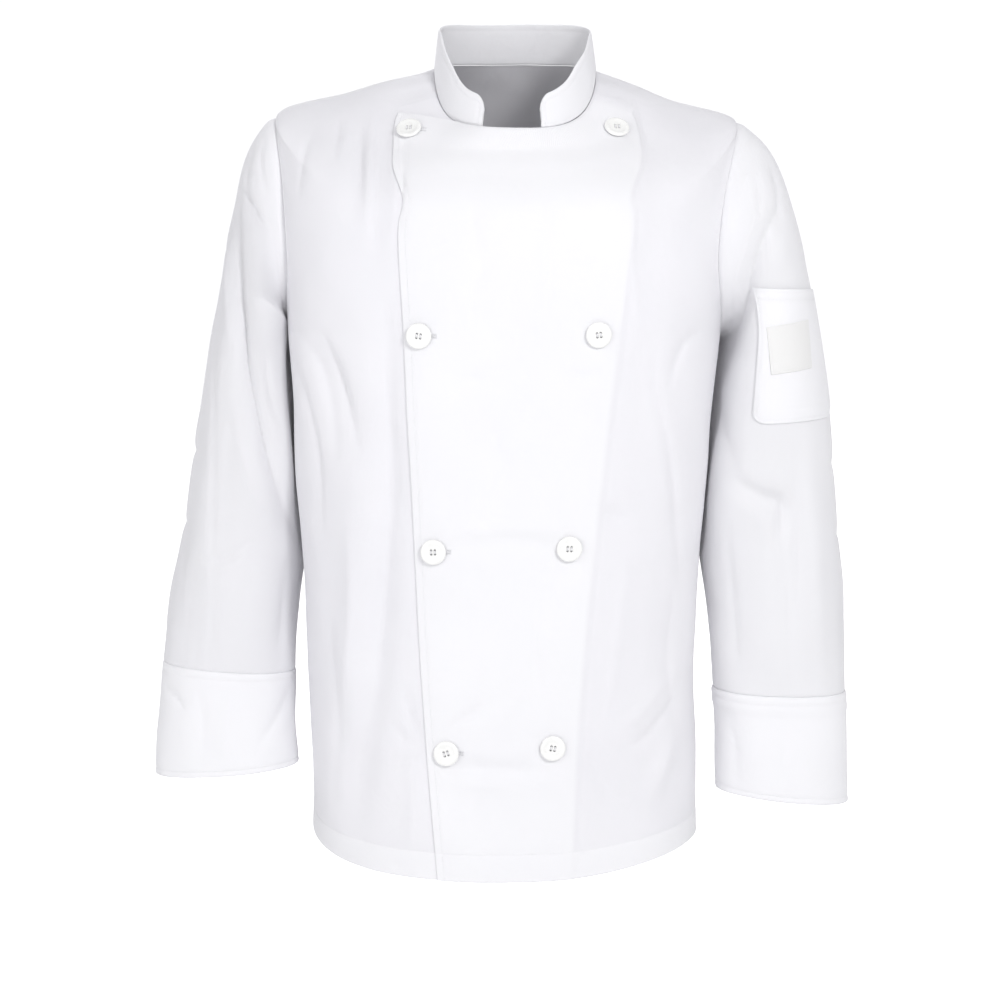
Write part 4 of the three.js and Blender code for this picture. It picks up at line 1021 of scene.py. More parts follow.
def place_group(tree, group, inputs):
    return add_node(tree, "ShaderNodeGroup", inputs, node_tree=group)


def fresh_material(name, roughness, constants):
    """A new material with its Principled shader's own sockets set."""
    material = bpy.data.materials.new(name)
    material.use_nodes = True
    tree = material.node_tree
    shader = tree.nodes["Principled BSDF"]
    shader.inputs["Roughness"].default_value = roughness
    for label, value in constants.items():
        shader.inputs[label].default_value = value
    return material, tree, shader


def mixed(tree, factor, low, high):
    node = add_node(tree, "ShaderNodeMix", data_type="RGBA")
    tree.links.new(factor, node.inputs[0])
    for socket, value in ((node.inputs[6], low), (node.inputs[7], high)):
        if isinstance(value, bpy.types.NodeSocket):
            tree.links.new(value, socket)
        else:
            socket.default_value = (*value, 1.0)
    return node.outputs[2]


def bumped(tree, shader, height, distance, under=None):
    bump = add_node(tree, "ShaderNodeBump", {"Height": height, "Distance": distance, "Strength": 1.0})
    if under is not None:
        tree.links.new(under, bump.inputs["Normal"])
    tree.links.new(bump.outputs[0], shader.inputs["Normal"])
    return bump.outputs[0]


def cloth_material():
    known = bpy.data.materials.get("white twill")
    if known:
        return known
    sizes = bpy.context.scene.jacket_sizes
    colours = bpy.context.scene.jacket_colours
    material, tree, shader = fresh_material("white twill", 0.82, {
        "Sheen Weight": 0.12, "Sheen Roughness": 0.5, "Specular IOR Level": 0.25,
    })
    flat = add_node(tree, "ShaderNodeTexCoord")
    weave = place_group(tree, twill_group(), {
        "Place": flat.outputs["UV"], "Ribs per metre": 1 / sizes.twill, "Slubs": 0.3,
    })
    puckers = place_group(tree, pucker_group(), {
        "Place": flat.outputs["Object"], "Puckers per metre": 24.0, "Fine creases": 0.12,
    })
    # Painted shade in the twill's furrows, added to the cloth's faint random tone from the puckers.
    shade = maths(tree, "MULTIPLY", weave.outputs["Furrow"], 0.35)
    tone = maths(tree, "MULTIPLY", puckers.outputs["Tone"], 0.25)
    colour = mixed(tree, maths(tree, "ADD", shade, tone), colours.cloth, colours.cloth_shade_and_tone)
    # Full white for doubled cloth, dimmer for one layer; on the sleeves the same share carries painted light
    # and shade.
    layers = add_node(tree, "ShaderNodeAttribute", attribute_name="cloth layers and painted light")
    dim = tuple(sizes.single_tone * c for c in (0.998, 0.994, 1.004))
    through = mixed(tree, layers.outputs["Fac"], dim, (1.0, 1.0, 1.0))
    whole = add_node(tree, "ShaderNodeMix", data_type="RGBA", blend_type="MULTIPLY")
    whole.inputs[0].default_value = 1.0
    tree.links.new(colour, whole.inputs[6])
    tree.links.new(through, whole.inputs[7])
    tree.links.new(whole.outputs[2], shader.inputs["Base Color"])
    rough = add_node(tree, "ShaderNodeMapRange", {
        "Value": weave.outputs["Furrow"], "To Min": 0.78, "To Max": 0.9,
    })
    tree.links.new(rough.outputs[0], shader.inputs["Roughness"])
    soft = bumped(tree, shader, puckers.outputs["Height"], 0.0011)
    bumped(tree, shader, weave.outputs["Height"], 0.00012, soft)
    return material


def thread_material():
    known = bpy.data.materials.get("white thread")
    if known:
        return known
    colours = bpy.context.scene.jacket_colours
    material, tree, shader = fresh_material("white thread", 0.6, {
        "Sheen Weight": 0.2, "Specular IOR Level": 0.4,
    })
    flat = add_node(tree, "ShaderNodeTexCoord")
    weave = place_group(tree, twill_group(), {
        "Place": flat.outputs["Object"], "Ribs per metre": 3200.0, "Slubs": 0.4,
    })
    # Painted shade in the furrows of the thread's twist.
    colour = mixed(tree, maths(tree, "MULTIPLY", weave.outputs["Furrow"], 0.3), colours.thread,
                   colours.cloth_shade_and_tone)
    tree.links.new(colour, shader.inputs["Base Color"])
    bumped(tree, shader, weave.outputs["Height"], 0.00008)
    return material


def label_material():
    known = bpy.data.materials.get("woven label")
    if known:
        return known
    colours = bpy.context.scene.jacket_colours
    material, tree, shader = fresh_material("woven label", 0.5, {
        "Sheen Weight": 0.1, "Specular IOR Level": 0.4,
    })
    flat = add_node(tree, "ShaderNodeTexCoord")
    weave = place_group(tree, twill_group(), {
        "Place": flat.outputs["UV"], "Ribs per metre": 2300.0, "Slubs": 0.15,
    })
    puckers = place_group(tree, pucker_group(), {
        "Place": flat.outputs["Object"], "Puckers per metre": 60.0, "Fine creases": 0.2,
    })
    # Painted shade in the furrows of the label's weave.
    colour = mixed(tree, maths(tree, "MULTIPLY", weave.outputs["Furrow"], 0.4), colours.label,
                   colours.cloth_shade_and_tone)
    tree.links.new(colour, shader.inputs["Base Color"])
    soft = bumped(tree, shader, puckers.outputs["Height"], 0.0005)
    bumped(tree, shader, weave.outputs["Height"], 0.00008, soft)
    return material


def button_material():
    known = bpy.data.materials.get("pearl resin")
    if known:
        return known
    colours = bpy.context.scene.jacket_colours
    material, tree, shader = fresh_material("pearl resin", 0.24, {
        "Coat Weight": 0.3, "Coat Roughness": 0.12,
    })
    flat = add_node(tree, "ShaderNodeTexCoord")
    cloud = add_node(tree, "ShaderNodeTexNoise", {
        "Vector": flat.outputs["Object"], "Scale": 260.0, "Detail": 3.0, "Distortion": 1.5,
    })
    bands = add_node(tree, "ShaderNodeMapRange", {
        "Value": cloud.outputs["Fac"], "From Min": 0.35, "From Max": 0.65,
    })
    low = tuple(0.94 * c for c in colours.button)
    tree.links.new(mixed(tree, bands.outputs[0], colours.button, low), shader.inputs["Base Color"])
    rough = add_node(tree, "ShaderNodeMapRange", {
        "Value": cloud.outputs["Fac"], "To Min": 0.18, "To Max": 0.34,
    })
    tree.links.new(rough.outputs[0], shader.inputs["Roughness"])
    bumped(tree, shader, cloud.outputs["Fac"], 0.00006)
    return material


# Pieces

class JACKET_OT_fronts(bpy.types.Operator):
    """Makes the two fronts, the left one lapped over the right, with the stitching of edge and hem"""

    bl_idname = "jacket.fronts"
    bl_label = "Fronts"

    def execute(self, context):
        sizes = context.scene.jacket_sizes
        hem = sizes.hem_depth / MM
        for side, name in ((1, "front_left"), (-1, "front_right")):
            grid = front_grid(side)
            rise = lap_rise(grid.angle, grid.at, grid.from_edge) if side == 1 else np.zeros(grid.at.shape)
            thick = np.maximum(turned(grid.from_edge, 11), turned(grid.at * RING_LENGTH, hem))
            outer, inner = clothed(grid, rise, thick)
            under = plain_body(under_edge_angle(grid.at), grid.at)
            past = plain_body(grid.angle, grid.at)[..., 0] - under[..., 0]
            lapped = (1 - smoothstep(past, -1.0, 1.5)) if side == 1 else np.zeros(past.shape)
            white_share = np.maximum(lapped, seams_and_hem(grid, hem))
            piece = wall(name + "_cloth", outer, inner, white_share)
            dress(piece, cloth_material(), "jacket_cloth", name)
            normals = grid_normals(outer) * side
            down = grid.at * RING_LENGTH
            free = [column_line(source, grid.from_edge, TOPSTITCH) for source in (outer, normals)]
            low = row_line(outer, down, hem), row_line(normals, down, hem)
            lines = [stitched(*free), stitched(*low)]
            sewing = dress(stitch_piece(name + "_stitches", lines), thread_material(), "jacket_cloth")
        return {"FINISHED"}


class JACKET_OT_back(bpy.types.Operator):
    """Makes the back panel with its stitched hem"""

    bl_idname = "jacket.back"
    bl_label = "Back"

    def execute(self, context):
        hem = context.scene.jacket_sizes.hem_depth / MM
        at, edge, turns = body_rows()
        near = SEAM_STEPS / 560
        shares = np.concatenate([near, np.linspace(near[-1], 1 - near[-1], 150)[1:-1], 1 - near[::-1]])
        start = armhole_angle(-turns, 1)
        end = 2 * np.pi + armhole_angle(-turns, -1)
        angle = lerp(start[:, None], end[:, None], shares[None])
        angle = np.where(angle > np.pi, angle - 2 * np.pi, angle)
        place = lerp(at[:, None], edge[:, None], np.abs(2 * shares - 1)[None] ** 2)
        from_seam = np.broadcast_to(np.minimum(shares, 1 - shares) * 560, place.shape)
        no_edge = np.full(place.shape, 1e3)
        grid = SimpleNamespace(angle=angle, at=place, from_edge=no_edge, from_seam=from_seam)
        outer, inner = clothed(grid, 0.0, turned(place * RING_LENGTH, hem))
        piece = wall("back_cloth", outer, inner, seams_and_hem(grid, hem))
        dress(piece, cloth_material(), "jacket_cloth", "back")
        normals = grid_normals(outer)
        if normals[10, 60, 1] < 0:
            normals = -normals
        down = place * RING_LENGTH
        line = row_line(outer, down, hem), row_line(normals, down, hem)
        sewing = dress(stitch_piece("back_stitches", [stitched(*line)]), thread_material(), "jacket_cloth")
        return {"FINISHED"}


class JACKET_OT_collar(bpy.types.Operator):
    """Makes the stand collar, open at the throat, with stitching along its edges"""

    bl_idname = "jacket.collar"
    bl_label = "Collar"

    def execute(self, context):
        start = angle_of_x(COLLAR_END_LEFT, 1.0)
        end = 2 * np.pi + angle_of_x(COLLAR_END_RIGHT, 1.0)

        def seam_at(angle):
            angle = np.where(angle > np.pi, angle - 2 * np.pi, angle)
            on_left = (angle > 0) & (angle < QUARTER)
            rise = np.where(on_left, lap_rise(angle, np.ones(angle.shape), np.full(angle.shape, 1e3)), 0)
            return body_point(angle, np.ones(angle.shape), rise)

        fine = np.linspace(start, end, 600)
        run = np.concatenate([[0], np.cumsum(length_of(np.diff(seam_at(fine), axis=0)))])
        total = run[-1]
        near = np.array([0, 0.8, 2.0, 3.4, 4.4, 5.2, 6.0, 7.2, 9.0, 11.0, 13.5])
        spots = np.concatenate([near, np.linspace(near[-1], total - near[-1], 120)[1:-1], total - near[::-1]])
        angle = np.interp(spots, run, fine)
        seam = seam_at(angle)
        from_end = np.minimum(spots, total - spots)
        corner = 1 - np.minimum(from_end / COLLAR_CORNER, 1)
        height = COLLAR_END_HEIGHT + COLLAR_CORNER * np.sqrt(1 - corner * corner)
        height += (COLLAR_HEIGHT - COLLAR_END_HEIGHT - COLLAR_CORNER) * np.minimum(from_end / 60, 1)
        along = unit(np.gradient(seam, axis=0))
        outward = unit(np.stack([seam[:, 0], seam[:, 1] + 8, np.zeros(len(seam))], -1))
        up = np.array([0, 0, 1.0]) - COLLAR_LEAN * outward
        up = up - 0.6 * (up * along).sum(-1)[:, None] * along
        up = unit(up)
        from_top = np.array([0, 0.8, 2.0, 3.6, 4.4, 5.2, 6.0, 7.2])
        low = np.concatenate([[0, 0.06, 0.14, 0.22], np.linspace(0.3, 1, 8)])
        rows = [lerp(0, height - from_top[-1], t) for t in low] + [height - d for d in from_top[-2::-1]]
        rise = np.stack(rows)
        down = height[None] - rise
        ends = np.broadcast_to(from_end, rise.shape)
        inset = np.minimum(down, ends)
        lift = groove(inset - 5.2, 0.35, 1.2) + groove(rise, 0.5, 2.2) - 0.45 * np.exp(-((inset / 1.6) ** 2))
        lift += 0.5 * np.sin(spots / 23.0)[None] * (rise / COLLAR_HEIGHT)
        lift += 0.12 * np.sin(spots / 9.0 + 1)[None]
        base = seam[None] + up[None] * (COLLAR_SEAT - 0.5 + rise)[..., None]
        outer = base + outward[None] * lift[..., None]
        back = 0.8 - COLLAR_BAND - 0.6 * lift
        inner = base + outward[None] * back[..., None]
        piece = dress(wall("collar_cloth", outer, inner, 1.0), cloth_material(), "jacket_cloth", "collar")
        lines = []
        top = row_line(outer, rise - height[None], -5.2)
        inside = from_end >= 5.2
        lines.append(stitched(top[inside], outward[inside]))
        for first in (5, len(spots) - 6):
            stop = height[first] - 5.2
            rises = np.linspace(1.5, stop, 8)
            line = np.stack([np.interp(rises, rise[:, first], outer[:, first, k]) for k in range(3)], -1)
            lines.append(stitched(line, np.repeat(outward[first][None], len(line), 0)))
        bottom = row_line(outer, rise, 2.6)
        inside = from_end >= 1.5
        lines.append(stitched(bottom[inside], outward[inside]))
        sewing = dress(stitch_piece("collar_stitches", lines), thread_material(), "jacket_cloth")
        return {"FINISHED"}


def sleeve_ring(columns, turn, at):
    outward, forward = np.cos(turn), np.sin(turn)
    box = columns.box(at)
    reach = (np.abs(outward) ** box + np.abs(forward) ** box) ** (-1 / box)
    across = (1 + reach * outward) / 2
    x = lerp(columns.x_inner(at), columns.x_outer(at), across)
    y = columns.y_middle(at) - columns.depth(at) * reach * forward
    return np.stack([x, y, lerp(columns.z_inner(at), columns.z_outer(at), across)], -1)


CAP_TURNS = np.linspace(0, 2 * np.pi, 721)


@lru_cache(maxsize=None)
def cap_start(side):
    """Where a sleeve's cap begins, all round the armhole."""
    return armhole_point(CAP_TURNS, side, -SEAM_DIP) + 0.3 * into_armhole(CAP_TURNS, side)


def body_side(y, z, side):
    """How far out the body's side reaches at a height and depth."""
    z_side = ring.z_left if side == 1 else ring.z_right
    at = halved(np.zeros(z.shape), np.full(z.shape, ARMPIT_AT), lambda middle: z_side(middle) < z, 18)
    depth = np.where(y <= 0, ring.front(at), ring.back(at))
    inside = np.abs(y) < depth
    safe = np.where(inside, y, 0.0)
    return np.where(inside, side * plain_body(side * angle_of_y(safe, at), at)[..., 0], 0.0)


def plain_sleeve(columns, side, turn, at):
    """A sleeve's plain form: from -1 at the armhole to 0 at the upper arm, and on down its rings."""
    turn, at = np.broadcast_arrays(np.asarray(turn, float), np.asarray(at, float))
    point = sleeve_ring(columns, turn, np.maximum(at, 0))
    cap = at < 0
    if cap.any():
        bend = turn[cap]
        t = (1 + at[cap])[..., None]
        top = np.cos(bend)[..., None]
        seam = cap_start(side)
        start = np.stack([np.interp(bend % (2 * np.pi), CAP_TURNS, seam[:, k]) for k in range(3)], -1)
        outward = unit(np.stack([np.full(bend.shape, float(side)), -0.3 * np.sin(bend),
                                 np.full(bend.shape, -0.3)], -1))
        end = sleeve_ring(columns, bend, np.zeros(bend.shape))
        down = unit(sleeve_ring(columns, bend, np.full(bend.shape, 0.02)) - end)
        first = start + outward * (26 + 14 * top)
        second = end - down * (62 + 38 * top)
        rest = 1 - t
        point[cap] = (start * rest ** 3 + 3 * first * rest * rest * t + 3 * second * rest * t * t
                      + end * t ** 3)
    least = body_side(point[..., 1], point[..., 2], side) + SLEEVE_CLEARANCE + WALL
    press = (at > -0.8) & (point[..., 2] < float(ring.z_right(ARMPIT_AT))) & (side * point[..., 0] < least)
    point[..., 0] = np.where(press, side * least, point[..., 0])
    return point


RIGHT = SimpleNamespace(columns=tracks(SLEEVE_RIGHT, SLEEVE_COLUMNS), side=-1, part="right")
LEFT = SimpleNamespace(columns=tracks(SLEEVE_LEFT, SLEEVE_COLUMNS), side=1, part="left")


def sleeve_base(sleeve, turn, at):
    """The points of a folded sleeve, and the way out from each."""
    def surface(a, b):
        return plain_sleeve(sleeve.columns, sleeve.side, a, b)

    turn, at = np.broadcast_arrays(np.asarray(turn, float), np.asarray(at, float))
    plain = surface(turn, at)
    normal = normal_of(surface, turn, np.maximum(at, -0.97), 0.03, 0.02) * sleeve.side
    x, y, z = plain[..., 0], plain[..., 1], plain[..., 2]
    forward = np.sin(turn)
    seen = np.minimum(1, np.abs(forward) / 0.45)
    front = fold_height(sleeve.part, "front", x, z)
    back = fold_height(sleeve.part, "back", x, z)
    outer = fold_height(sleeve.part, "outer", y, z) * smoothstep(np.cos(turn), 0.15, 0.7)
    grow = np.clip((at + 1) * 5, 0, 1)
    lift = (np.where(forward >= 0, front, back) * seen + outer) * grow + unevenness(plain) * grow
    return plain + normal * lift[..., None], normal


def sleeve_turns(count):
    """Turns round a sleeve, evenly spaced and starting at the seam under the arm."""
    return 2 * np.pi * np.arange(count) / count + np.pi


class JACKET_OT_sleeves(bpy.types.Operator):
    """Makes both sleeves, gathered smoothly into their armholes, with a seam under the arm"""

    bl_idname = "jacket.sleeves"
    bl_label = "Sleeves"

    def execute(self, context):
        thick = context.scene.jacket_sizes.cloth / MM
        cap = np.concatenate([[-1, -0.99, -0.975, -0.95, -0.92], np.linspace(-0.88, 0, 48)])
        arm = np.linspace(0, 1, 112)[1:-1]
        at = np.concatenate([cap, arm, [0.992, 0.997, 1.0]])
        turn = sleeve_turns(132)
        seam = np.minimum(np.abs(turn - np.pi), np.abs(3 * np.pi - turn)) * 48
        for sleeve, name, side in ((LEFT, "sleeve_left", 1), (RIGHT, "sleeve_right", -1)):
            places = np.broadcast_to(at[:, None], (len(at), len(turn)))
            turns = np.broadcast_to(turn[None], places.shape)
            dip = groove(np.broadcast_to(seam[None], places.shape), 0.9, 2.4)
            dip = dip + groove((1 - places) * 320, 1.0, 3.0)
            swell = 1.1 * np.exp(-(((places + 0.93) / 0.05) ** 2))
            base, normal = sleeve_base(sleeve, turns, places)
            outer = moved(base, normal, dip + swell)
            inner = moved(base, normal, dip * 0.3 + swell - thick)
            # The sleeves are one layer of cloth; their white shares are painted light: the left sleeve,
            # towards the key light, almost as white as doubled cloth, the right sleeve darker as painted
            # shade.
            piece = wall(name + "_cloth", outer, inner, 0.9 if side == 1 else 0.6, wrapped=True)
            dress(piece, cloth_material(), "jacket_cloth", name)
        return {"FINISHED"}


class JACKET_OT_cuffs(bpy.types.Operator):
    """Makes the two deep cuffs with a row of stitches along both edges"""

    bl_idname = "jacket.cuffs"
    bl_label = "Cuffs"

    def execute(self, context):
        edge = np.array([0, 0.01, 0.022, 0.036, 0.05, 0.064, 0.08, 0.11, 0.14])
        at = np.concatenate([1 + edge, np.linspace(1.14, 1.84, 20)[1:], 2 - edge[::-1][1:]])
        turn = sleeve_turns(132)
        for sleeve, name in ((LEFT, "cuff_left"), (RIGHT, "cuff_right")):
            places = np.broadcast_to(at[:, None], (len(at), len(turn)))
            turns = np.broadcast_to(turn[None], places.shape)
            seam = np.minimum(np.abs(turn - np.pi), np.abs(3 * np.pi - turn)) * 48
            top = (places - 1) * 102
            low = (2 - places) * 102
            shape = groove(top - 5.1, 0.45, 1.6) + groove(low - 5.1, 0.45, 1.6)
            shape = shape + groove(top, 0.6, 1.4) + groove(seam, 0.8, 2.4)[None]
            if name == "cuff_left":
                shape = shape + 0.9 * smoothstep(top, 16, 10)
            lift = 0.8 + shape
            base, normal = sleeve_base(sleeve, turns, places)
            outer = moved(base, normal, lift)
            inner = moved(base, normal, -1.3)
            piece = wall(name + "_cloth", outer, inner, 1.0, wrapped=True)
            dress(piece, cloth_material(), "jacket_cloth", name)
            normals = grid_normals(outer, wrapped=True)
            middle = outer.mean((0, 1))
            if ((outer[5, 10] - middle) * normals[5, 10]).sum() < 0:
                normals = -normals
            lines = []
            for level in (1.05, 1.95):
                line = row_line(outer, places, level)
                lines.append(stitched(line, row_line(normals, places, level), closed=True))
            sewing = dress(stitch_piece(name + "_stitches", lines), thread_material(), "jacket_cloth")
        return {"FINISHED"}


def sleeve_at_height(sleeve, turn, z):
    def above(at):
        return plain_sleeve(sleeve.columns, sleeve.side, turn, at)[..., 2] > z

    return halved(np.full(np.shape(turn), -0.9), np.ones(np.shape(turn)), above, 15)


def sleeve_turn_of(sleeve, x, z):
    """How far round a sleeve a point of the front view lies."""
    def outside(turn):
        at = sleeve_at_height(sleeve, turn, z)
        return sleeve.side * plain_sleeve(sleeve.columns, sleeve.side, turn, at)[..., 0] > sleeve.side * x

    return halved(np.zeros(np.shape(x)), np.full(np.shape(x), np.pi), outside, 14)


def patch_places(corners, across, down, radius):
    """Turn and height of a patch's grid on the left sleeve, with its two lower corners rounded."""
    x = np.array([c[0] for c in corners], float)
    z = np.array([c[1] for c in corners], float)
    turn = sleeve_turn_of(LEFT, x, z)
    s = across[None, :]
    width = 72.0 if radius else 38.0
    height = 118.0 if radius else 45.0
    t = np.broadcast_to(down[:, None], (len(down), len(across)))
    if radius:
        from_side = np.minimum(s, 1 - s) * width
        cut = radius - np.sqrt(np.maximum(radius ** 2 - np.maximum(radius - from_side, 0) ** 2, 0))
        t = t * (1 - cut / height)
    top_turn, low_turn = lerp(turn[1], turn[0], s), lerp(turn[3], turn[2], s)
    top_z, low_z = lerp(z[1], z[0], s), lerp(z[3], z[2], s)
    turns = lerp(top_turn, low_turn, t)
    at = sleeve_at_height(LEFT, turns, lerp(top_z, low_z, t))
    inset = np.minimum(np.minimum(s, 1 - s) * width, np.minimum(t * height, height * (1 - down[:, None])))
    return turns, at, inset


class JACKET_OT_pocket(bpy.types.Operator):
    """Makes the patch pocket on the left sleeve and the plain woven label on it, both sewn on"""

    bl_idname = "jacket.pocket"
    bl_label = "Pocket and label"

    def execute(self, context):
        near = np.array([0, 0.7, 1.6, 2.6, 3.4, 4.6, 6.5, 9.0, 10.5])
        across = np.concatenate([near / 72, np.linspace(near[-1] / 72, 1 - near[-1] / 72, 26)[1:-1],
                                 1 - near[::-1] / 72])
        down = np.concatenate([near / 118, np.linspace(near[-1] / 118, 1 - near[-1] / 118, 38)[1:-1],
                               1 - near[::-1] / 118])
        turns, at, inset = patch_places(POCKET_CORNERS, across, down, 11.0)
        edge = groove(inset - 2.6, 0.3, 0.9) + 0.35 * smoothstep(inset, 10.5, 8.8)
        mouth = 0.7 * np.exp(-((down[:, None] * 118 / 9) ** 2)) * np.sin(np.pi * across)[None]
        base, normal = sleeve_base(LEFT, turns, at)
        outer = moved(base, normal, 1.6 + edge + mouth)
        inner = moved(base, normal, 0.35 + mouth)
        piece = wall("sleeve_pocket_cloth", outer, inner, 1.0)
        dress(piece, cloth_material(), "jacket_cloth", "sleeve_pocket")
        normals = outer - inner
        columns = len(across)
        rows = len(down)
        first = [(j, 3) for j in range(1, rows - 4)]
        bottom = [(rows - 4, i) for i in range(3, columns - 3)]
        last = [(j, columns - 4) for j in range(rows - 5, 0, -1)]
        path = first + bottom + last
        line = np.array([outer[j, i] for j, i in path])
        facing = unit(np.array([normals[j, i] for j, i in path]))
        mouth_line = np.array([outer[7, i] for i in range(2, columns - 2)])
        mouth_facing = unit(np.array([normals[7, i] for i in range(2, columns - 2)]))
        lines = [stitched(line, facing), stitched(mouth_line, mouth_facing)]
        sewing = dress(stitch_piece("sleeve_pocket_stitches", lines), thread_material(), "jacket_cloth")
        near = np.array([0, 0.6, 1.2, 1.8, 2.6])
        across = np.concatenate([near / 38, np.linspace(near[-1] / 38, 1 - near[-1] / 38, 14)[1:-1],
                                 1 - near[::-1] / 38])
        down = np.concatenate([near / 45, np.linspace(near[-1] / 45, 1 - near[-1] / 45, 16)[1:-1],
                               1 - near[::-1] / 45])
        turns, at, inset = patch_places(LABEL_CORNERS, across, down, 0.0)
        edge = groove(inset - 1.2, 0.2, 0.7)
        base, normal = sleeve_base(LEFT, turns, at)
        outer = moved(base, normal, 2.75 + edge)
        inner = moved(base, normal, 1.8)
        piece = dress(wall("label_cloth", outer, inner, 1.0), label_material(), "woven_label", "label")
        normals = unit(outer - inner)
        rows, columns = outer.shape[:2]
        path = [(2, i) for i in range(2, columns - 2)]
        path += [(j, columns - 3) for j in range(3, rows - 2)]
        path += [(rows - 3, i) for i in range(columns - 4, 1, -1)]
        path += [(j, 2) for j in range(rows - 4, 2, -1)]
        line = np.array([outer[j, i] for j, i in path])
        facing = np.array([normals[j, i] for j, i in path])
        sewing = stitch_piece("label_stitches", [stitched(line, facing, closed=True)], length=2.0, width=0.4)
        dress(sewing, thread_material(), "woven_label")
        return {"FINISHED"}


def turned_solid(name, profile, segments):
    """A solid turned round Z from a profile of radius and height, in millimetres, closed on its axis."""
    turns = 2 * np.pi * np.arange(segments) / segments
    rings = [(r, h) for r, h in profile if r > 0]
    points = [(r * math.cos(t), r * math.sin(t), h) for r, h in rings for t in turns]
    low, high = len(points), len(points) + 1
    points += [(0, 0, rings[0][1]), (0, 0, rings[-1][1])]
    faces = []
    for a in range(len(rings) - 1):
        for k in range(segments):
            n = (k + 1) % segments
            faces.append((a * segments + k, a * segments + n, (a + 1) * segments + n, (a + 1) * segments + k))
    end = (len(rings) - 1) * segments
    for k in range(segments):
        n = (k + 1) % segments
        faces.append((low, n, k))
        faces.append((high, end + k, end + n))
    mesh = bpy.data.meshes.new(name)
    mesh.from_pydata([(x * MM, y * MM, z * MM) for x, y, z in points], [], faces)
    piece = bpy.data.objects.new(name, mesh)
    bpy.context.scene.collection.objects.link(piece)
    return piece


HOLE_OUT = 1.7
HOLE_RADIUS = 1.0


def button_mesh(sizes):
    """A turned pearl button with a raised rim, a dished middle and four holes cut through."""
    r, t = sizes.button / MM, sizes.button_thickness / MM
    profile = [
        (0.5 * r, 0), (0.78 * r, 0.02 * t), (0.9 * r, 0.1 * t), (0.97 * r, 0.26 * t), (r, 0.46 * t),
        (0.99 * r, 0.66 * t), (0.96 * r, 0.82 * t), (0.91 * r, 0.93 * t), (0.85 * r, 0.98 * t),
        (0.79 * r, t), (0.73 * r, 0.98 * t), (0.67 * r, 0.92 * t), (0.61 * r, 0.85 * t),
        (0.54 * r, 0.81 * t), (0.45 * r, 0.795 * t), (0.3 * r, 0.79 * t), (0.15 * r, 0.79 * t),
    ]
    blank = turned_solid("button_blank", profile, 56)
    drills = []
    for a, b in ((1, 1), (-1, 1), (-1, -1), (1, -1)):
        drill = turned_solid("drill", [(HOLE_RADIUS, -1), (HOLE_RADIUS, 0.5 * t), (HOLE_RADIUS, 0.7 * t),
                                       (1.4 * HOLE_RADIUS, 0.86 * t), (1.4 * HOLE_RADIUS, t + 1)], 18)
        drill.location = (a * HOLE_OUT * MM, b * HOLE_OUT * MM, 0)
        cut = blank.modifiers.new("hole", "BOOLEAN")
        cut.object = drill
        cut.operation = "DIFFERENCE"
        cut.solver = "EXACT"
        drills.append(drill)
    bpy.context.view_layer.update()
    seen = blank.evaluated_get(bpy.context.evaluated_depsgraph_get())
    mesh = bpy.data.meshes.new_from_object(seen)
    mesh.name = "pearl button"
    for piece in (blank, *drills):
        bpy.data.objects.remove(piece)
    mesh.polygons.foreach_set("use_smooth", np.ones(len(mesh.polygons), bool))
    mesh.set_sharp_from_angle(angle=math.radians(38))
    return mesh


def tube(points, radius, sides=8):
    """A closed round tube along a line, as points and faces."""
    points = np.array(points, float)
    along = unit(np.gradient(points, axis=0))
    guide = np.array([1.0, 0.0, 0.0]) if abs(along[0][0]) < 0.9 else np.array([0.0, 1.0, 0.0])
    side = unit(np.cross(along, guide))
    up = np.cross(along, side)
    turn = 2 * np.pi * np.arange(sides) / sides
    around = np.cos(turn)[None, :, None] * side[:, None] + np.sin(turn)[None, :, None] * up[:, None]
    rings = points[:, None] + radius * around
    faces = []
    for a in range(len(points) - 1):
        for k in range(sides):
            n = (k + 1) % sides
            faces.append((a * sides + k, a * sides + n, (a + 1) * sides + n, (a + 1) * sides + k))
    return rings.reshape(-1, 3), np.array(faces)


def button_thread(name, t):
    """Two bars of several strands through the four holes, and the wound shank below."""
    points, faces = [], []
    count = 0
    top = 0.79 * t
    for bar in (-HOLE_OUT, HOLE_OUT):
        for strand in (-0.42, 0.0, 0.42):
            line = []
            for s in np.linspace(-1, 1, 11):
                out = HOLE_OUT * 0.97 * s
                hump = top + 0.55 + 0.12 * strand - 1.7 * max(abs(s) - 0.72, 0) / 0.28
                line.append((bar + strand, out, hump))
            made, corners = tube(line, 0.26)
            points.append(made)
            faces.append(corners + count)
            count += len(made)
    for wind in range(4):
        turn = np.linspace(0, 2 * np.pi, 17)
        height = -0.15 - 0.42 * wind
        line = np.stack([1.9 * np.cos(turn), 1.9 * np.sin(turn), np.full(17, height)], -1)
        made, corners = tube(line, 0.24)
        points.append(made)
        faces.append(corners + count)
        count += len(made)
    return mesh_object(name, np.concatenate(points), np.concatenate(faces))


def place_on_front(x, z):
    """The ring's place and angle on the top front that show at x and z in the front view."""
    def angle_at(at):
        return np.clip(angle_of_x(x, at), -EDGE_ANGLE_LIMIT, EDGE_ANGLE_LIMIT)

    def below(at):
        return plain_body(angle_at(at), at)[..., 2] < z

    at = halved(np.zeros(np.shape(x)), np.ones(np.shape(x)), below)
    return angle_at(at), at


def button_seat(x, z):
    """The middle of a button's place on the top front, in millimetres, and the way that it faces."""
    angle, at = place_on_front(x, z)
    rise = lap_rise(angle, at, np.array(1e3))
    return body_point(angle, at, rise), body_normal(angle, at), angle, at


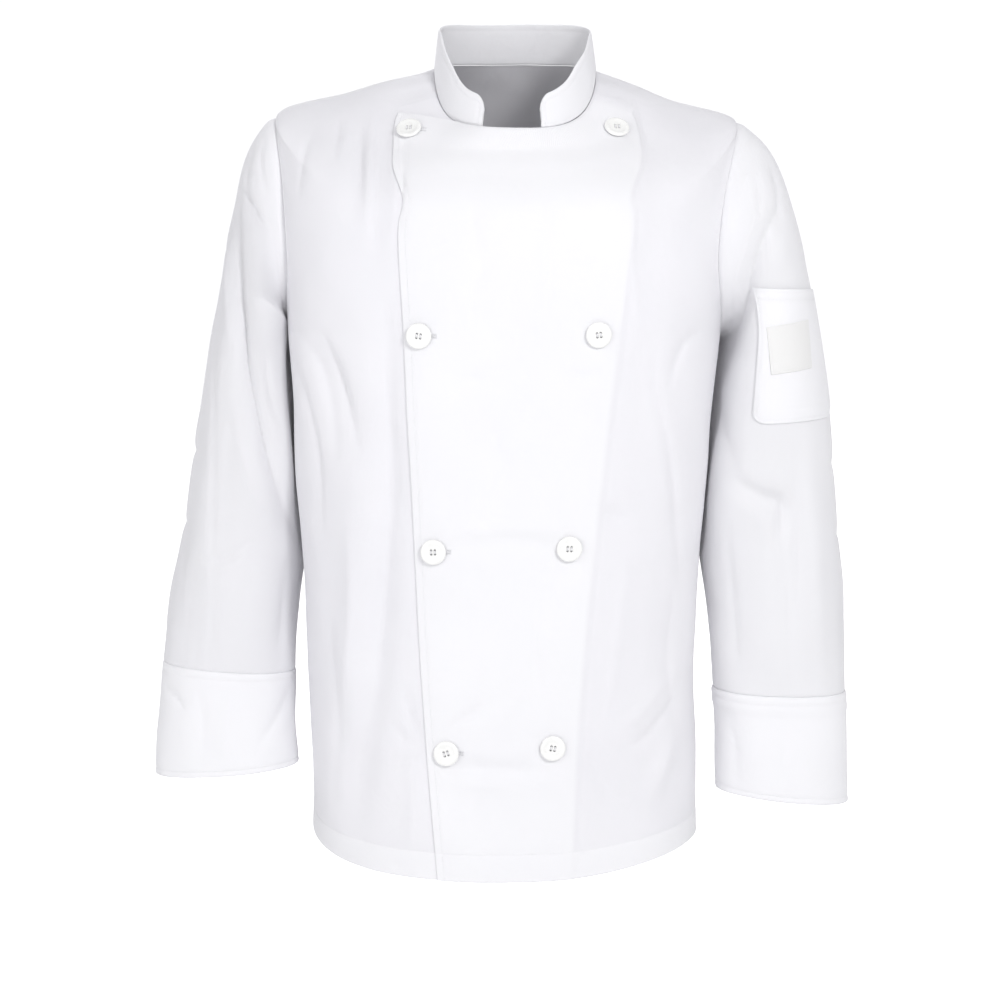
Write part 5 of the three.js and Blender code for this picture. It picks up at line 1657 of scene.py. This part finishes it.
def buttonhole_lines(x, z):
    """Close stitches round a level buttonhole in the top front, behind a button and a little past it."""
    lines = []
    for offset, low, high in ((1.15, -10.0, 15.5), (-1.15, -10.0, 15.5)):
        spots = np.arange(low, high, 0.62)
        angle, at = place_on_front(x + spots, np.full(spots.shape, z + offset))
        rise = lap_rise(angle, at, np.full(at.shape, 1e3)) + 0.12
        normal = body_normal(angle, at)
        along = np.repeat(np.array([[0.0, 0.0, 1.0]]), len(spots), 0)
        along = unit(along - (along * normal).sum(-1)[:, None] * normal)
        lines.append((body_point(angle, at, rise), along, normal))
    return lines


class JACKET_OT_buttons(bpy.types.Operator):
    """Makes the eight pearl buttons with their thread, and the buttonholes of the right hand row"""

    bl_idname = "jacket.buttons"
    bl_label = "Buttons"

    def execute(self, context):
        sizes = context.scene.jacket_sizes
        mesh = button_mesh(sizes)
        mesh.materials.clear()
        mesh.materials.append(button_material())
        thread = button_thread("button_thread_pattern", sizes.button_thickness / MM)
        thread.data.materials.append(thread_material())
        holes = []
        for row in BUTTON_ROWS:
            for side in ("right", "left"):
                x, z = row["x_" + side], row["z_" + side]
                seat, normal, _, _ = button_seat(x, z)
                stand = 0.75 if side == "left" else 0.55
                facing = Vector(normal.tolist()).to_track_quat("Z", "Y").to_matrix().to_4x4()
                twist = row["twist"] * (1 if side == "right" else -0.7)
                place = Matrix.Translation(Vector(((seat + normal * stand) * MM).tolist()))
                place = place @ facing @ Matrix.Rotation(twist, 4, "Z")
                for kind, data in (("button", mesh), ("button_thread", thread.data)):
                    piece = bpy.data.objects.new(f"{kind}_{side}_{row['row']}_made", data)
                    context.scene.collection.objects.link(piece)
                    piece.matrix_world = place
                    if kind == "button":
                        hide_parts(f"button_{side}_{row['row']}")
                    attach(piece, "root")
                if side == "right":
                    holes += buttonhole_lines(x, z)
        bpy.data.objects.remove(thread)
        sewing = stitch_piece("buttonhole_stitches", holes, length=2.1, width=0.55)
        dress(sewing, thread_material(), "jacket_cloth")
        return {"FINISHED"}


class JACKET_OT_stage(bpy.types.Operator):
    """Sets the pale floor, the soft lights and the camera at the photograph's place"""

    bl_idname = "jacket.stage"
    bl_label = "Stage"

    def execute(self, context):
        scene = context.scene
        colours = scene.jacket_colours
        scene.view_settings.view_transform = "Standard"
        mesh = bpy.data.meshes.new("floor")
        turn = 2 * np.pi * np.arange(64) / 64
        mesh.from_pydata([(9 * math.cos(t), 9 * math.sin(t), -1.05) for t in turn], [], [tuple(range(64))])
        floor = bpy.data.objects.new("floor", mesh)
        scene.collection.objects.link(floor)
        material, tree, shader = fresh_material("pale floor", 0.9, {"Specular IOR Level": 0.1})
        grain = add_node(tree, "ShaderNodeTexNoise", {"Scale": 3.0, "Detail": 2.0})
        low = tuple(0.985 * c for c in colours.floor)
        tree.links.new(mixed(tree, grain.outputs["Fac"], colours.floor, low), shader.inputs["Base Color"])
        rays = add_node(tree, "ShaderNodeLightPath")
        glow = add_node(tree, "ShaderNodeMapRange", {"Value": rays.outputs["Is Camera Ray"], "To Max": 0.8})
        shader.inputs["Emission Color"].default_value = (1, 1, 1, 1)
        tree.links.new(glow.outputs[0], shader.inputs["Emission Strength"])
        mesh.materials.append(material)
        world = bpy.data.worlds.new("studio")
        world.use_nodes = True
        sky = world.node_tree
        rays = add_node(sky, "ShaderNodeLightPath")
        seen = add_node(sky, "ShaderNodeMapRange", {
            "Value": rays.outputs["Is Camera Ray"], "To Min": 0.63, "To Max": 1.05,
        })
        sky.nodes["Background"].inputs["Color"].default_value = (0.985, 0.985, 1.0, 1)
        sky.links.new(seen.outputs[0], sky.nodes["Background"].inputs["Strength"])
        scene.world = world
        target = Vector((0, 0, -0.34))
        for name, place, size, power in (
            ("key", (1.3, -2.4, 1.0), 0.6, 33),
            ("fill", (-1.7, -2.2, 0.0), 2.2, 19),
            ("back", (-0.8, 2.4, 1.2), 1.6, 30),
        ):
            lamp = bpy.data.lights.new(name, "AREA")
            lamp.energy = power
            lamp.size = size
            holder = bpy.data.objects.new(name, lamp)
            holder.location = place
            holder.rotation_euler = (target - Vector(place)).to_track_quat("-Z", "Y").to_euler()
            scene.collection.objects.link(holder)
        lens = bpy.data.cameras.new("camera")
        lens.lens = 89.03
        lens.sensor_width = 36
        camera = bpy.data.objects.new("camera", lens)
        camera.location = (-0.013, -2.3, -0.122)
        camera.rotation_euler = (math.radians(83.1), 0, 0)
        scene.collection.objects.link(camera)
        scene.camera = camera
        return {"FINISHED"}


class JACKET_PT_panel(bpy.types.Panel):
    """The jacket's sizes and colours, and a button for each piece"""

    bl_idname = "JACKET_PT_panel"
    bl_label = "Chef jacket"
    bl_space_type = "VIEW_3D"
    bl_region_type = "UI"
    bl_category = "Chef jacket"

    def draw(self, context):
        for group in (context.scene.jacket_sizes, context.scene.jacket_colours):
            for name in group.__annotations__:
                self.layout.prop(group, name)
        for step in STEPS:
            self.layout.operator(step.bl_idname)


STEPS = (
    JACKET_OT_stage,
    JACKET_OT_back,
    JACKET_OT_fronts,
    JACKET_OT_collar,
    JACKET_OT_sleeves,
    JACKET_OT_cuffs,
    JACKET_OT_pocket,
    JACKET_OT_buttons,
)
CLASSES = (JacketSizes, JacketColours, *STEPS, JACKET_PT_panel)


def register():
    for kind in CLASSES:
        bpy.utils.register_class(kind)
    bpy.types.Scene.jacket_sizes = PointerProperty(type=JacketSizes)
    bpy.types.Scene.jacket_colours = PointerProperty(type=JacketColours)


def unregister():
    del bpy.types.Scene.jacket_colours
    del bpy.types.Scene.jacket_sizes
    for kind in reversed(CLASSES):
        bpy.utils.unregister_class(kind)


def main():
    register()
    bpy.ops.jacket.stage()
    bpy.ops.jacket.back()
    bpy.ops.jacket.fronts()
    bpy.ops.jacket.collar()
    bpy.ops.jacket.sleeves()
    bpy.ops.jacket.cuffs()
    bpy.ops.jacket.pocket()
    bpy.ops.jacket.buttons()


if __name__ == "__main__":
    main()
